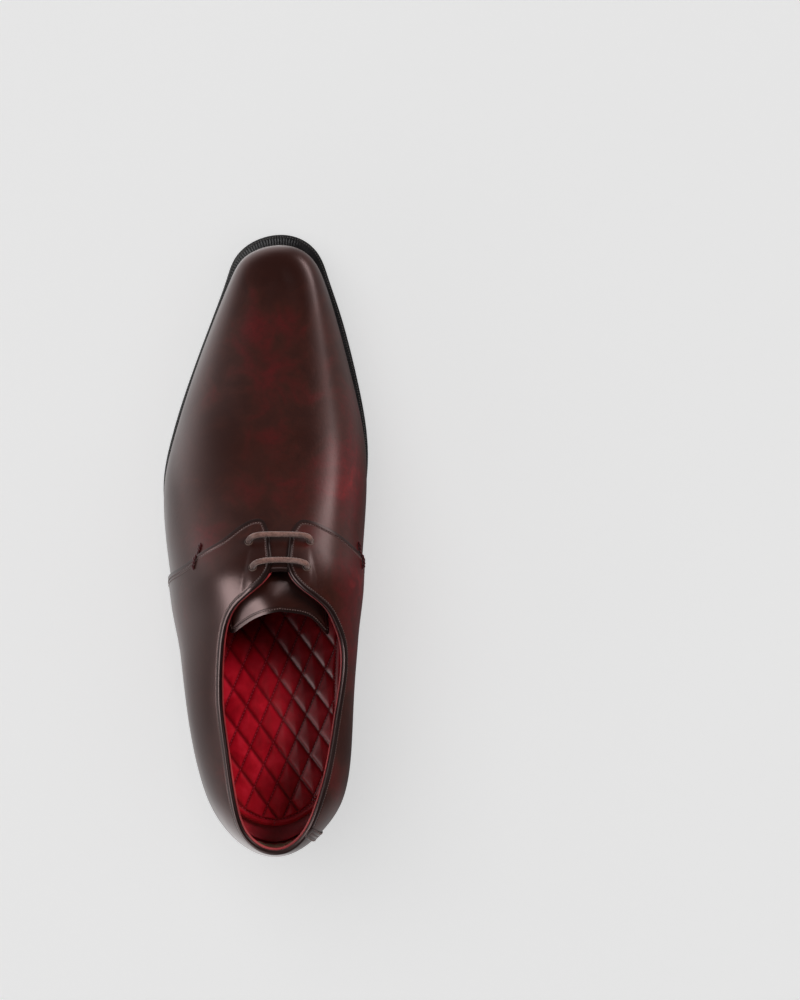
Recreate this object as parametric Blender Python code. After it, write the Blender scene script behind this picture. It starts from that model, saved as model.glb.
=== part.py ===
"""A left shoe for a man's foot, EU 42: welted sole, stacked heel, layered upper, two pairs of lace holes.

Millimetres throughout, turned into metres when a mesh is made. +X is the medial side, +Y the toe, +Z up, and
the origin is on the ground under the middle of the shoe. Every layer of the upper is a patch of one surface,
the last, between two distances from it. A place on the last has a station (an angle round the plan outline,
0 at the toe and pi at the heel, negative on the lateral side) and a height fraction (0 at the feather line,
1 at the ridge).
"""
import bpy
import bmesh
import numpy as np
from mathutils import Vector

MM = 0.001
HEEL_Y, TOE_Y = -150.5, 144.7
MID_Y, HALF_LENGTH = (HEEL_Y + TOE_Y) / 2, (TOE_Y - HEEL_Y) / 2
GAP = 0.3                      # clearance between neighbouring pieces

# Layers of the upper, as distances inward from the outer face
OUTER = 1.2
STIFFENER = 0.5
LINING = 0.8
STIFFENER_IN = OUTER + GAP
LINING_IN = STIFFENER_IN + STIFFENER + GAP
INSIDE = LINING_IN + LINING
OVERLAP = 7.0                  # how far the vamp runs on under the quarters
LIFT = 1.5                     # how far the quarters stand out over it
LIFT_FADE = 26.0               # and over what length they come back to the last behind it
HALF_SEAM = 0.004              # half the gap between two panels that butt, as an angle

# Layers of the bottom, from the ground up
SOLE, WELT, INSOLE, FOAM, SOCK = 5.0, 3.0, 2.5, 3.0, 1.0
FEATHER = SOLE + WELT + 2 * GAP
INSOLE_AT = FEATHER + INSIDE + GAP
SOCK_AT = INSOLE_AT + INSOLE + GAP
SLACK = 1.0                    # room between the lining and what lies inside the shoe
MARGIN = 10.0                  # lasting margin turned in under the insole
BREAST_Y = -82.0               # front face of the heel
TOP_PIECE, LIFTS = 6.0, 3
EDGE_TAPER = 0.5               # each lift of the heel is this much smaller all round

LACE = 1.35                    # radius
HOLE = 1.8
TONGUE_IN = INSIDE + 2 * LACE + 2.2
TONGUE, TONGUE_LINING = 1.3, 0.8

HINGE = (7.4, 3.1, 65.5)       # the tongue swings about the X axis through this point

V_BULGE = 0.2                  # height at which the wall stands furthest out
V_TURN = 0.05                  # below this height the quarters butt against the vamp and don't overlap it
COLUMNS = 36                   # station lines from the toe to the heel on each side
SHARP = 0.6                    # edges that turn more than this, in radians, are drawn as edges
LEVELS = np.array([-0.25, 0, V_TURN, 0.1, 0.2, 0.36, 0.53, 0.69, 0.8, 0.88, 0.94, 1.0])
TAB_LEVELS = np.array([0.925, 0.97])


# ---------------------------------------------------------------- curves

def smooth(points):
    """A natural cubic through a few (place, value) pairs."""
    x, y = np.array(points, float).T
    step, count = np.diff(x), len(x)
    a, b = np.eye(count), np.zeros(count)
    for i in range(1, count - 1):
        a[i, i - 1:i + 2] = step[i - 1], 2 * (step[i - 1] + step[i]), step[i]
        b[i] = 6 * ((y[i + 1] - y[i]) / step[i] - (y[i] - y[i - 1]) / step[i - 1])
    bend = np.linalg.solve(a, b)

    def at(place):
        place = np.clip(np.asarray(place, float), x[0], x[-1])
        i = np.clip(np.searchsorted(x, place) - 1, 0, count - 2)
        right, left, h = x[i + 1] - place, place - x[i], step[i]
        cubic = (bend[i] * right ** 3 + bend[i + 1] * left ** 3) / (6 * h)
        return cubic + (y[i] / h - bend[i] * h / 6) * right + (y[i + 1] / h - bend[i + 1] * h / 6) * left
    return at


def station(y, side=1.0):
    return side * np.arccos(np.clip((np.asarray(y, float) - MID_Y) / HALF_LENGTH, -1, 1))


def ring(rows):
    """A smooth closed function of station from (y, lateral value, medial value) rows, toe first, heel last."""
    medial = [(float(station(y)), right) for y, left, right in rows]
    lateral = [(-float(station(y)), left) for y, left, right in rows[1:-1]]
    turn = sorted(medial + lateral)
    around = [(a - 2 * np.pi, b) for a, b in turn] + turn + [(a + 2 * np.pi, b) for a, b in turn]
    curve = smooth([p for p in around if -4.5 < p[0] < 4.5])
    return lambda psi: curve((np.asarray(psi, float) + np.pi) % (2 * np.pi) - np.pi)


def ease(t):
    t = np.clip(t, 0, 1)
    return t * t * (3 - 2 * t)


# Plan outline of the upper at its widest, and how the wall below and above that line is shaped
OUTLINE = ring([(TOE_Y, 7.5, 7.5), (137, -11.8, 24.0), (128, -16.9, 28.7), (118, -21.1, 32.2),
                (89, -32.3, 40.3), (69, -39.1, 45.2), (49, -45.0, 48.9), (29.5, -49.2, 49.9), (10, -49.4, 48.9),
                (-15, -46.5, 46.9), (-43.5, -42.5, 45.3), (-67, -39.6, 43.3), (-91, -36.2, 42.0),
                (-114.6, -30.8, 39.8), (-126.4, -26.4, 36.2), (-138.3, -18.6, 27.8), (HEEL_Y, 4.6, 4.6)])
UNDERCUT = ring([(TOE_Y, 3, 3), (110, 4, 4), (50, 5, 5), (10, 6, 8), (-20, 6.5, 11.5), (-50, 7, 12),
                 (-80, 6, 7.5), (-110, 5, 5.5), (HEEL_Y, 4.5, 4.5)])
BULGE = ring([(TOE_Y, 8, 8), (110, 9, 9), (50, 11, 12), (0, 15, 20), (-50, 20, 26), (-100, 23, 24),
              (HEEL_Y, 24, 24)])
FULLNESS = ring([(TOE_Y, 0.8, 0.8), (110, 0.85, 0.85), (60, 0.92, 0.85), (10, 0.95, 0.8), (-50, 1, 0.7),
                 (-75, 1, 0.66), (-110, 0.95, 0.7), (HEEL_Y, 0.75, 0.75)])
RIDGE_X = smooth([(-131, 4.6), (-60, 6.8), (0, 7.2), (60, 9.5), (126, 8)])
RIDGE_Z = smooth([(-131, 101), (-100, 90), (-73, 82), (-45, 84), (-16, 85.5), (0, 77.5), (20, 67.5), (45, 57),
                  (75, 48.5), (105, 41.5), (126, 36.5)])
RIDGE_BACK, RIDGE_TOE = -131.0, 126.0

# Underside of the outsole along the shoe, and how far the sole edge lies inside the outline above
GROUND = smooth([(-152, 25), (-120, 23.8), (-90, 21.4), (-70, 18.2), (-50, 13.2), (-20, 5.2), (10, 0.7),
                 (35, 0), (60, 0.5), (90, 2.4), (120, 5.8), (152, 11.2)])
SOLE_EDGE = ring([(TOE_Y, -5.8, -5.8), (139, -4.2, -4.6), (128, -2.3, -2.9), (110, -1.5, -3.1),
                  (85, -1.5, -3.1), (50, -1.7, -2.0), (30, -1.1, -0.6), (10, 0.3, 2), (-20, 2.5, 7), (-50, 3, 8),
                  (-80, 2.5, 4.5), (-110, 2, 2.6), (HEEL_Y, 1.5, 1.5)])

# Top line of the quarters, and the front seam of each quarter by height
TOP_LINE = ring([(TOE_Y, 0.96, 0.96), (60, 0.955, 0.965), (5, 0.954, 0.966), (-5, 0.962, 0.975),
                 (-13, 0.962, 0.977), (-20, 0.932, 0.953), (-26, 0.868, 0.885), (-32, 0.794, 0.772),
                 (-40, 0.734, 0.675), (-50, 0.698, 0.585), (-62, 0.675, 0.55), (-80, 0.656, 0.6),
                 (-100, 0.664, 0.65), (-118, 0.664, 0.682), (-130, 0.645, 0.68), (-141, 0.59, 0.62),
                 (HEEL_Y, 0.56, 0.56)])
SEAM = {-1: smooth([(-0.25, -20), (0, -20), (0.2, -19), (0.34, -16), (0.51, -10.5), (0.66, -3.6),
                    (0.765, 1.3), (0.81, 5.2), (0.86, 9.2), (0.9, 11.1), (0.925, 11), (0.945, 8), (0.955, 4)]),
        1: smooth([(-0.25, -10), (0, -10), (0.2, -9.5), (0.4, -7.1), (0.57, -1.7), (0.69, 3.3), (0.8, 7.7),
                   (0.87, 10), (0.91, 10.6), (0.94, 9), (0.96, 5)])}
BACK_SEAM = 2.78
TAB_Y = -16.0                  # rear edge of the vamp's tab between the facings
HOLES = {-1: [(-0.8, 0.872), (-14.0, 0.885)], 1: [(-0.7, 0.87), (-13.8, 0.89)]}


# ---------------------------------------------------------------- the last

def last_raw(psi, v):
    y = MID_Y + HALF_LENGTH * np.cos(psi)
    x = OUTLINE(psi)
    ridge_y = RIDGE_BACK + (y - HEEL_Y) * (RIDGE_TOE - RIDGE_BACK) / (TOE_Y - HEEL_Y)
    ridge_z = RIDGE_Z(ridge_y)
    dx, dy = RIDGE_X(ridge_y) - x, ridge_y - y
    width = np.hypot(dx, dy)
    dx, dy = dx / width, dy / width
    cut, power = UNDERCUT(psi), FULLNESS(psi)
    foot = GROUND(y + dy * cut) + FEATHER
    waist = foot + BULGE(psi)
    low = (np.clip(v / V_BULGE, 0, 1) - 1) * np.pi / 2
    high = np.clip((v - V_BULGE) / (1 - V_BULGE), 0, 1) * np.pi / 2
    below = v < V_BULGE
    inward = np.where(below, cut * (1 - np.cos(low)), width * (1 - np.maximum(np.cos(high), 0) ** power))
    inward = inward + np.where(v < 0, v / LEVELS[0] * MARGIN, 0)
    z = waist + np.where(below, (waist - foot) * np.sin(low), (ridge_z - waist) * np.sin(high) ** power)
    z = np.where(v < 0, GROUND(y + dy * inward) + FEATHER, z)
    return np.stack([x + dx * inward, y + dy * inward, z], -1)


def last(psi, v, out=0.0):
    """Points at a distance outward from the last, at stations psi and height fractions v."""
    psi, v, out = np.broadcast_arrays(*(np.asarray(n, float) for n in (psi, v, out)))

    def normal(psi):
        step, at = 1e-3, np.minimum(v, 1 - 2e-3)
        along = last_raw(psi + step, at) - last_raw(psi - step, at)
        up = last_raw(psi, at + step) - last_raw(psi, at - step)
        n = np.cross(up, along)
        return n / np.linalg.norm(n, axis=-1, keepdims=True)

    mine, other = normal(psi), normal(-psi)
    both = (mine + other) / np.linalg.norm(mine + other, axis=-1, keepdims=True)
    return last_raw(psi, v) + np.where((v >= 1)[..., None], both, mine) * out[..., None]


def wall_inset(psi, low, high):
    """How far inside the outline the lining's face stands at its tightest, between two heights over the ground."""
    v = LEVELS[1:]
    shape = last(psi[:, None], v[None], -INSIDE)
    height = shape[..., 2] - GROUND(shape[..., 1])
    edge = np.stack([OUTLINE(psi), MID_Y + HALF_LENGTH * np.cos(psi)], -1)
    inset = np.linalg.norm(shape[..., :2] - edge[:, None], axis=-1)
    return np.array([max(np.interp(h, height[i], inset[i]) for h in (low, high)) for i in range(len(psi))])


def plan(psi, inset):
    """The outline moved inward."""
    step = 1e-3

    def at(angle):
        return np.stack([OUTLINE(angle), MID_Y + HALF_LENGTH * np.cos(angle)], -1)
    along = at(psi + step) - at(psi - step)
    along /= np.linalg.norm(along, axis=-1, keepdims=True)
    return at(psi) + np.stack([along[..., 1], -along[..., 0]], -1) * np.asarray(inset)[..., None]


# ---------------------------------------------------------------- meshes

def material(name, color, roughness, metallic=0.0):
    made = bpy.data.materials.new(name)
    made.use_nodes = True
    shader = made.node_tree.nodes["Principled BSDF"]
    shader.inputs["Base Color"].default_value = (*color, 1)
    shader.inputs["Roughness"].default_value = roughness
    shader.inputs["Metallic"].default_value = metallic
    return made


def add_object(name, points, faces, look):
    """A mesh object from points in millimetres; points in the same place become one."""
    bm = bmesh.new()
    verts = [bm.verts.new(Vector(p) * MM) for p in points]
    for face in faces:
        bm.faces.new([verts[i] for i in face])
    bmesh.ops.remove_doubles(bm, verts=bm.verts, dist=1e-7)
    bmesh.ops.dissolve_degenerate(bm, edges=bm.edges, dist=1e-7)
    bmesh.ops.triangulate(bm, faces=bm.faces)
    bmesh.ops.recalc_face_normals(bm, faces=bm.faces)
    mesh = bpy.data.meshes.new(name)
    bm.to_mesh(mesh)
    bm.free()
    mesh.shade_smooth()
    mesh.set_sharp_from_angle(angle=SHARP)
    obj = bpy.data.objects.new(name, mesh)
    obj.data.materials.append(look)
    bpy.context.collection.objects.link(obj)
    return obj


def thick_grid(name, inner, outer, look, open_ends=()):
    """A closed piece between two grids. Sides named in open_ends get no wall, where the grid meets itself."""
    rows, cols = inner.shape[:2]
    index = np.arange(rows * cols).reshape(rows, cols)
    faces = []
    for i in range(rows - 1):
        for j in range(cols - 1):
            quad = [index[i, j], index[i + 1, j], index[i + 1, j + 1], index[i, j + 1]]
            faces += [quad, [q + rows * cols for q in reversed(quad)]]
    sides = {"first_row": index[0], "last_row": index[-1], "first_col": index[:, 0], "last_col": index[:, -1]}
    for side, line in sides.items():
        if side not in open_ends:
            faces += [[a, b, b + rows * cols, a + rows * cols] for a, b in zip(line[:-1], line[1:])]
    return add_object(name, np.concatenate([inner.reshape(-1, 3), outer.reshape(-1, 3)]), faces, look)


def stations_between(first, final):
    """The shared station lines from first to final: layers over each other have their facets in line."""
    lines = np.arange(-2 * COLUMNS, 2 * COLUMNS + 1) * np.pi / COLUMNS
    inside = lines[(lines > first + 1e-3) & (lines < final - 1e-3)]
    return np.concatenate([[first], inside, [final]])


def ring_panel(name, start, end, low, high, inner, outer, look, lift=None, ridge=False, extra=()):
    """A patch round the last, from station start(v) to end(v) and from height low to high(psi)."""
    levels = np.sort(np.concatenate([[low], LEVELS[LEVELS > low + 1e-3], extra]))
    first, final = min(start(v) for v in levels), max(end(v) for v in levels)
    psi, v = np.meshgrid(stations_between(first, final), levels, indexing="ij")
    psi = np.clip(psi, start(v), end(v))
    v = np.minimum(v, high(psi))
    more = lift(psi, v) if lift else 0
    return thick_grid(name, last(psi, v, more - outer), last(psi, v, more - inner), look,
                      ("last_col",) if ridge else ())


def saddle_panel(name, front_y, back_y, side_v, inner, outer, look):
    """A patch over the ridge, from front_y to back_y(v) and down to height side_v(y), each given by side."""
    levels = LEVELS[LEVELS > 0.5]
    height = np.concatenate([levels, levels[-2::-1]])
    side = np.concatenate([-np.ones(len(levels)), np.ones(len(levels) - 1)])
    furthest = min(back_y[s](levels).min() for s in back_y)
    lines = stations_between(float(station(front_y)), float(station(furthest)))
    a, v = np.meshgrid(lines, height, indexing="ij")
    a = np.minimum(a, station(np.where(side < 0, back_y[-1](v), back_y[1](v))))
    y = MID_Y + HALF_LENGTH * np.cos(a)
    v = np.maximum(v, np.where(side < 0, side_v[-1](y), side_v[1](y)))
    return thick_grid(name, last(a * side, v, -outer), last(a * side, v, -inner), look)


def slab(name, inset, first, final, low, high, look, across=5, breast=0.0):
    """A plate following the ground line, between two heights given by functions of y."""
    psi = stations_between(first, final)
    left, right = plan(-psi, inset(-psi)), plan(psi, inset(psi))
    t = np.linspace(0, 1, across)
    flat = left[:, None] * (1 - t[None, :, None]) + right[:, None] * t[None, :, None]
    if breast:
        near = ease(1 - (psi - first) / 0.12)[:, None]
        flat[..., 1] -= breast * near * np.sin(np.pi * t)[None]
    y = flat[..., 1]
    lower = np.concatenate([flat, low(y)[..., None]], -1)
    upper = np.concatenate([flat, high(y)[..., None]], -1)
    return thick_grid(name, lower, upper, look)


def band(name, inside, outside, first, final, low, high, look):
    """A strip round the edge of the sole."""
    psi = stations_between(first, final)
    edge = np.stack([plan(psi, inside(psi)), plan(psi, outside(psi))], 1)
    y = edge[..., 1]
    return thick_grid(name, np.concatenate([edge, low(y)[..., None]], -1),
                      np.concatenate([edge, high(y)[..., None]], -1), look)


def cylinder(name, base, axis, radius, length, look, bore=0.0, sides=12):
    axis = Vector(axis).normalized()
    across = axis.orthogonal().normalized()
    other = axis.cross(across)
    turn = np.arange(sides + 1) * 2 * np.pi / sides
    circle = np.array([across * np.cos(a) + other * np.sin(a) for a in turn])
    base, along = np.array(base), np.array(axis) * length
    if bore:
        inner = np.stack([base + circle * bore, base + along + circle * bore], 1)
        outer = np.stack([base + circle * radius, base + along + circle * radius], 1)
        return thick_grid(name, inner, outer, look, ("first_row", "last_row"))
    points = [*(base + circle[:-1] * radius), *(base + along + circle[:-1] * radius)]
    faces = [list(range(sides)), list(range(sides, 2 * sides))]
    faces += [[i, (i + 1) % sides, (i + 1) % sides + sides, i + sides] for i in range(sides)]
    return add_object(name, points, faces, look)


def rod(name, points, radius, look):
    """A round bar along a smooth line through points, rounded off square at its ends."""
    curve = bpy.data.curves.new(name, "CURVE")
    curve.dimensions = "3D"
    curve.bevel_depth = radius * MM
    curve.bevel_resolution = 2
    curve.use_fill_caps = True
    spline = curve.splines.new("POLY")
    spline.points.add(len(points) - 1)
    for place, point in zip(spline.points, points):
        place.co = (*(Vector(point) * MM), 1)
    obj = bpy.data.objects.new(name, curve)
    obj.data.materials.append(look)
    bpy.context.collection.objects.link(obj)
    return obj


def rounded(points, spacing=4.6):
    """Evenly spaced points along a smooth line through a few."""
    points = np.array(points, float)
    chord = np.concatenate([[0], np.cumsum(np.linalg.norm(np.diff(points, axis=0), axis=1))])
    count = max(4, int(chord[-1] / spacing))
    even = np.linspace(0, chord[-1], count)
    return np.stack([smooth(list(zip(chord, points[:, k])))(even) for k in range(3)], -1)


def cut(obj, cutter):
    modifier = obj.modifiers.new("cut", "BOOLEAN")
    modifier.operation, modifier.solver, modifier.object = "DIFFERENCE", "EXACT", cutter
    cutter.hide_render, cutter.display_type = True, "WIRE"


def piece_set():
    """One material for each kind of stuff."""
    return {
        "upper": material("burgundy_leather", (0.09, 0.012, 0.016), 0.28),
        "lining": material("red_lining_leather", (0.35, 0.02, 0.03), 0.5),
        "sock": material("quilted_red_leather", (0.38, 0.008, 0.02), 0.38),
        "sole": material("black_sole_leather", (0.015, 0.014, 0.014), 0.45),
        "board": material("tan_insole_leather", (0.45, 0.27, 0.14), 0.7),
        "cork": material("cork", (0.42, 0.26, 0.13), 0.9),
        "rubber": material("black_rubber", (0.02, 0.02, 0.02), 0.75),
        "steel": material("shank_steel", (0.5, 0.5, 0.5), 0.35, 1.0),
        "brass": material("eyelet_brass", (0.6, 0.42, 0.18), 0.35, 1.0),
        "stiffener": material("stiffener_board", (0.5, 0.42, 0.3), 0.85),
        "foam": material("sock_foam", (0.75, 0.72, 0.65), 0.95),
        "lace": material("waxed_cotton", (0.3, 0.14, 0.11), 0.8),
        "thread": material("waxed_thread", (0.16, 0.012, 0.02), 0.6),
        "aglet": material("aglet_plastic", (0.1, 0.05, 0.04), 0.4),
    }


# ---------------------------------------------------------------- the shoe

def above(height):
    return lambda y: GROUND(y) + height


def room(low, high):
    """The inset that clears the lining between two heights, for a piece that lies inside the shoe."""
    return lambda psi: wall_inset(psi, low, high) + SLACK


def sock_base(y):
    """Underside of the sock: the foam lifts it at the heel and fades out towards the waist."""
    return GROUND(y) + SOCK_AT + FOAM * (1 - ease((y + 30) / 40)) + GAP


def build_bottom(look):
    tip = 0.06
    slab("outsole", SOLE_EDGE, tip, np.pi - tip, above(0), above(SOLE), look["sole"])
    breast, joint = float(station(BREAST_Y)), 0.003
    level = above(SOLE + GAP), above(SOLE + GAP + WELT)
    band("welt", welt_inside, SOLE_EDGE, -breast + joint, breast - joint, *level, look["sole"])
    band("heel_rand", welt_inside, SOLE_EDGE, breast + joint, 2 * np.pi - breast - joint, *level,
         look["sole"])

    filler = slab("cork_filler", lambda psi: UNDERCUT(psi) + MARGIN + 1.2, 0.35, np.pi - 0.35,
                  above(SOLE + GAP), above(INSOLE_AT - GAP), look["cork"])
    half, bed, thickness = 6.0, (-112.0, 8.0), 1.6
    under = SOLE + 2 * GAP
    shank_bar("steel_shank", half, *bed, under, under + thickness, look["steel"])
    pocket = shank_bar("shank_pocket", half + GAP, bed[0] - GAP, bed[1] + GAP, under - 2.5,
                       under + thickness + GAP, look["steel"])
    cut(filler, pocket)

    slab("insole", room(INSOLE_AT, INSOLE_AT + INSOLE), 0.1, np.pi - 0.1,
         above(INSOLE_AT), above(INSOLE_AT + INSOLE), look["board"])
    foam_front, least_foam = float(station(-10)), 0.4
    slab("sock_foam", lambda psi: room(SOCK_AT, SOCK_AT + FOAM)(psi) + 3, foam_front, np.pi - 0.2,
         above(SOCK_AT), lambda y: np.maximum(sock_base(y) - GAP, GROUND(y) + SOCK_AT + least_foam), look["foam"])
    slab("quilted_sock", room(SOCK_AT, SOCK_AT + FOAM + SOCK + GAP), 0.2, np.pi - 0.1,
         sock_base, lambda y: sock_base(y) + SOCK, look["sock"], across=7)


def welt_inside(psi):
    return UNDERCUT(psi) + MARGIN - 1


def shank_bar(name, half, back, front, low, high, look):
    y = np.linspace(back, front, 16)
    centre = 2.5
    flat = np.stack([np.stack([np.full_like(y, centre - half), y], -1),
                     np.stack([np.full_like(y, centre + half), y], -1)], 1)
    ground = GROUND(flat[..., 1])[..., None]
    return thick_grid(name, np.concatenate([flat, ground + low], -1), np.concatenate([flat, ground + high], -1), look)


def build_heel(look):
    breast, back = float(station(BREAST_Y)), np.pi - 0.06
    tread, hollow = TOP_PIECE + GAP, 4.0

    def share(part, more=0.0):
        """A height between the top piece and the outsole, as a part of the way up."""
        return lambda y: tread + (GROUND(y) - GAP - tread) * part + more
    for k in range(LIFTS):
        low = share(1 - (k + 1) / LIFTS, GAP if k < LIFTS - 1 else 0)
        slab(f"heel_lift_{k + 1}", lambda psi, k=k: SOLE_EDGE(psi) + EDGE_TAPER * (k + 1), breast, back, low,
             share(1 - k / LIFTS), look["sole"], breast=hollow)
    split, half_gap = float(station(-108.0)), 0.002
    inset = lambda psi: SOLE_EDGE(psi) + EDGE_TAPER * (LIFTS + 1)
    flat, top = (lambda y: 0 * y), (lambda y: 0 * y + TOP_PIECE)
    slab("heel_top_leather", inset, breast, split - half_gap, flat, top, look["sole"], breast=hollow)
    slab("heel_top_rubber", inset, split + half_gap, back, flat, top, look["rubber"])


def seam_station(side):
    return lambda v: side * station(SEAM[side](v))


def quarter_lift(side):
    """The quarter stands out over the vamp behind the seam, and over the vamp's tab along the facing."""
    def lift(psi, v):
        y = MID_Y + HALF_LENGTH * np.cos(psi)
        over_vamp = 1 - ease((SEAM[side](v) - y - OVERLAP - 5) / LIFT_FADE)
        over_tab = ease((v - 0.8) / 0.08) * (1 - ease((TAB_Y - 4 - y) / LIFT_FADE))
        return LIFT * ease(v / V_TURN) * np.maximum(over_vamp, over_tab)
    return lift


def line_at(psi):
    return lambda v: 0 * v + psi


def vamp_back(side):
    """The vamp ends under the quarters, butts against them at the sole, and runs back as a tab at the ridge."""
    def at(v):
        under = SEAM[side](np.minimum(v, 0.88)) + GAP - (OVERLAP + GAP) * ease((v - V_TURN) / 0.05)
        return side * station(np.where(v > 0.93, TAB_Y, under))
    return at


def build_upper(look):
    low = LEVELS[0]
    stiffener_out = STIFFENER_IN + STIFFENER
    whole = lambda psi: np.ones_like(psi)
    ring_panel("vamp", vamp_back(-1), vamp_back(1), low, whole, 0, OUTER, look["upper"], ridge=True,
               extra=TAB_LEVELS)
    butt = float(station(16.0))
    ring_panel("vamp_lining", line_at(-butt), line_at(butt), low, whole, LINING_IN, INSIDE, look["lining"],
               ridge=True)
    puff = float(station(108.0))
    ring_panel("toe_puff", line_at(-puff), line_at(puff), 0.0, whole, STIFFENER_IN, stiffener_out,
               look["stiffener"], ridge=True)

    rear = 2 * np.pi - BACK_SEAM
    quarters = {
        -1: ring_panel("quarter_lateral", line_at(-rear + HALF_SEAM), seam_station(-1), low, TOP_LINE, 0, OUTER,
                       look["upper"], quarter_lift(-1)),
        1: ring_panel("quarter_medial", seam_station(1), line_at(BACK_SEAM - HALF_SEAM), low, TOP_LINE, 0,
                      OUTER, look["upper"], quarter_lift(1))}
    half_strip = 0.06
    strip_thickness = 1.0
    ring_panel("back_strip", line_at(BACK_SEAM - half_strip), line_at(BACK_SEAM + half_strip), 0.1,
               lambda psi: TOP_LINE(psi) - HALF_SEAM, -GAP - strip_thickness, -GAP, look["upper"])
    counter, counter_top = float(station(-88.0)), 0.53
    ring_panel("heel_counter", line_at(counter), line_at(2 * np.pi - counter), 0.1, line_at(counter_top),
               STIFFENER_IN, stiffener_out, look["stiffener"])

    join = float(station(-112.0))
    near, far = butt + 0.006, join - HALF_SEAM
    linings = {}
    for side, name, start, end in ((-1, "lateral", -far, -near), (1, "medial", near, far)):
        linings[side] = ring_panel(f"quarter_lining_{name}", line_at(start), line_at(end), low, TOP_LINE,
                                   LINING_IN, INSIDE, look["lining"])
    ring_panel("counter_lining", line_at(join + HALF_SEAM), line_at(2 * np.pi - join - HALF_SEAM), low,
               TOP_LINE, LINING_IN, INSIDE, look["lining"])
    return quarters, linings


def hole_frame(side, y, v):
    psi = station(y, side)
    centre = last(psi, v, 0.0)
    axis = last(psi, v, 1.0) - centre
    return centre, axis


def build_facings(look, quarters, linings):
    """A stay behind each row of lace holes, and the blind eyelets set in it."""
    front, back = float(station(3.0)), float(station(-21.0))
    stay_low, below_edge = 0.8, 0.012
    for side, name, start, end in ((-1, "lateral", -back, -front), (1, "medial", front, back)):
        stay = ring_panel(f"facing_stay_{name}", line_at(start), line_at(end), stay_low,
                          lambda psi: TOP_LINE(psi) - below_edge, STIFFENER_IN, STIFFENER_IN + STIFFENER,
                          look["stiffener"])
        for k, (y, v) in enumerate(HOLES[side], 1):
            centre, axis = hole_frame(side, y, v)
            cutter = cylinder(f"hole_{name}_{k}", centre - axis * 8, axis, HOLE, 16, look["brass"], sides=16)
            cut(quarters[side], cutter)
            cut(linings[side], cutter)
            seat = cylinder(f"seat_{name}_{k}", centre - axis * 4, axis, HOLE + 1.5, 8.0, look["brass"], sides=16)
            cut(stay, seat)
            cylinder(f"eyelet_{name}_{k}", centre - axis * (STIFFENER_IN + STIFFENER - 0.05), axis,
                     HOLE + 1.1, 0.4, look["brass"], bore=HOLE, sides=16)


def build_tongue(look):
    back = {-1: smooth([(0.55, -53), (0.7, -49.5), (0.8, -46.5), (0.9, -42.8), (1, -40)]),
            1: smooth([(0.55, -51), (0.7, -48), (0.8, -45.5), (0.9, -42.3), (1, -40)])}
    sides = {-1: smooth([(-56, 0.69), (-30, 0.7), (-12, 0.76), (8, 0.86)]),
             1: smooth([(-56, 0.62), (-30, 0.66), (-12, 0.76), (8, 0.86)])}
    saddle_panel("tongue", 8.0, back, sides, TONGUE_IN, TONGUE_IN + TONGUE, look["upper"])
    under = TONGUE_IN + TONGUE + GAP
    saddle_panel("tongue_lining", 6.0, {s: (lambda v, f=back[s]: f(v) + 1.0) for s in back},
                 {s: (lambda y, f=sides[s]: f(y) + 0.01) for s in sides}, under, under + TONGUE_LINING,
                 look["lining"])


def lace_route():
    """One end in the toe, up through the front medial hole, across and back through all four, and down again."""
    inside, over = INSIDE + GAP + LACE, LIFT + GAP + LACE
    ends = {side: [hole_frame(side, y, v) for y, v in HOLES[side]] for side in HOLES}

    def rest(y):
        return float(GROUND(y)) + SOCK_AT + SOCK + 1.0 + LACE

    def through(side, k, outward):
        centre, axis = ends[side][k]
        depths = (-inside + 0.4, -2.0, 1.8) if outward else (1.8, -2.0, -inside + 0.4)
        return [centre + axis * d for d in depths]

    def bar(k, start):
        """Across the gap: the lace bows a little towards the toe."""
        a, b = ends[start][k], ends[-start][k]
        crown = (a[0] + b[0]) / 2 + np.array([2.0, 4.0, 0.0])
        crown[2] = RIDGE_Z(crown[1]) + over + 1.2
        first, final = (end[0] + end[1] * (over + 0.8) + (crown - end[0]) * 0.06 for end in (a, b))
        return [first, crown, final]

    first_end = [last(station(2.0, 1), 0.86, -inside - 0.4), last(station(26.0, 1), 0.84, -inside - 3.0)]
    first_end += [(28.0, 46.0, rest(46) + 9), (26.0, 66.0, rest(66)), (24.0, 84.0, rest(84)),
                  (18.0, 94.0, rest(94)), (12.0, 84.0, rest(84)), (12.0, 62.0, rest(62)), (12.0, 36.0, rest(36))]
    second_end = [last(station(y, 1), 0.78, -inside - 0.6) for y in (6.0, 24.0)]
    second_end += [(35.5, 44.0, rest(44) + 9), (34.0, 60.0, rest(60)), (31.5, 76.0, rest(76)),
                   (27.0, 92.0, rest(92)), (17.0, 104.0, rest(104)), (4.0, 104.0, rest(104)),
                   (-6.0, 96.0, rest(96)), (-9.0, 76.0, rest(76))]
    link = last(station((HOLES[-1][0][0] + HOLES[-1][1][0]) / 2, -1), 0.862, -inside - 0.3)
    path = first_end[::-1] + through(1, 0, True) + bar(0, 1) + through(-1, 0, False) + [link]
    path += through(-1, 1, True) + bar(1, -1) + through(1, 1, False)
    return path + [last(station(-6.0, 1), 0.80, -inside - 0.4)] + second_end


def build_lace(look):
    line = rounded(lace_route())
    rod("lace", line, LACE, look["lace"])
    tip_length = 11.0
    for name, tip, step in (("aglet_1", line[0], line[0] - line[1]), ("aglet_2", line[-1], line[-1] - line[-2])):
        step = step / np.linalg.norm(step)
        cylinder(name, tip + step * GAP, step, LACE, tip_length, look["aglet"], sides=8)


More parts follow.
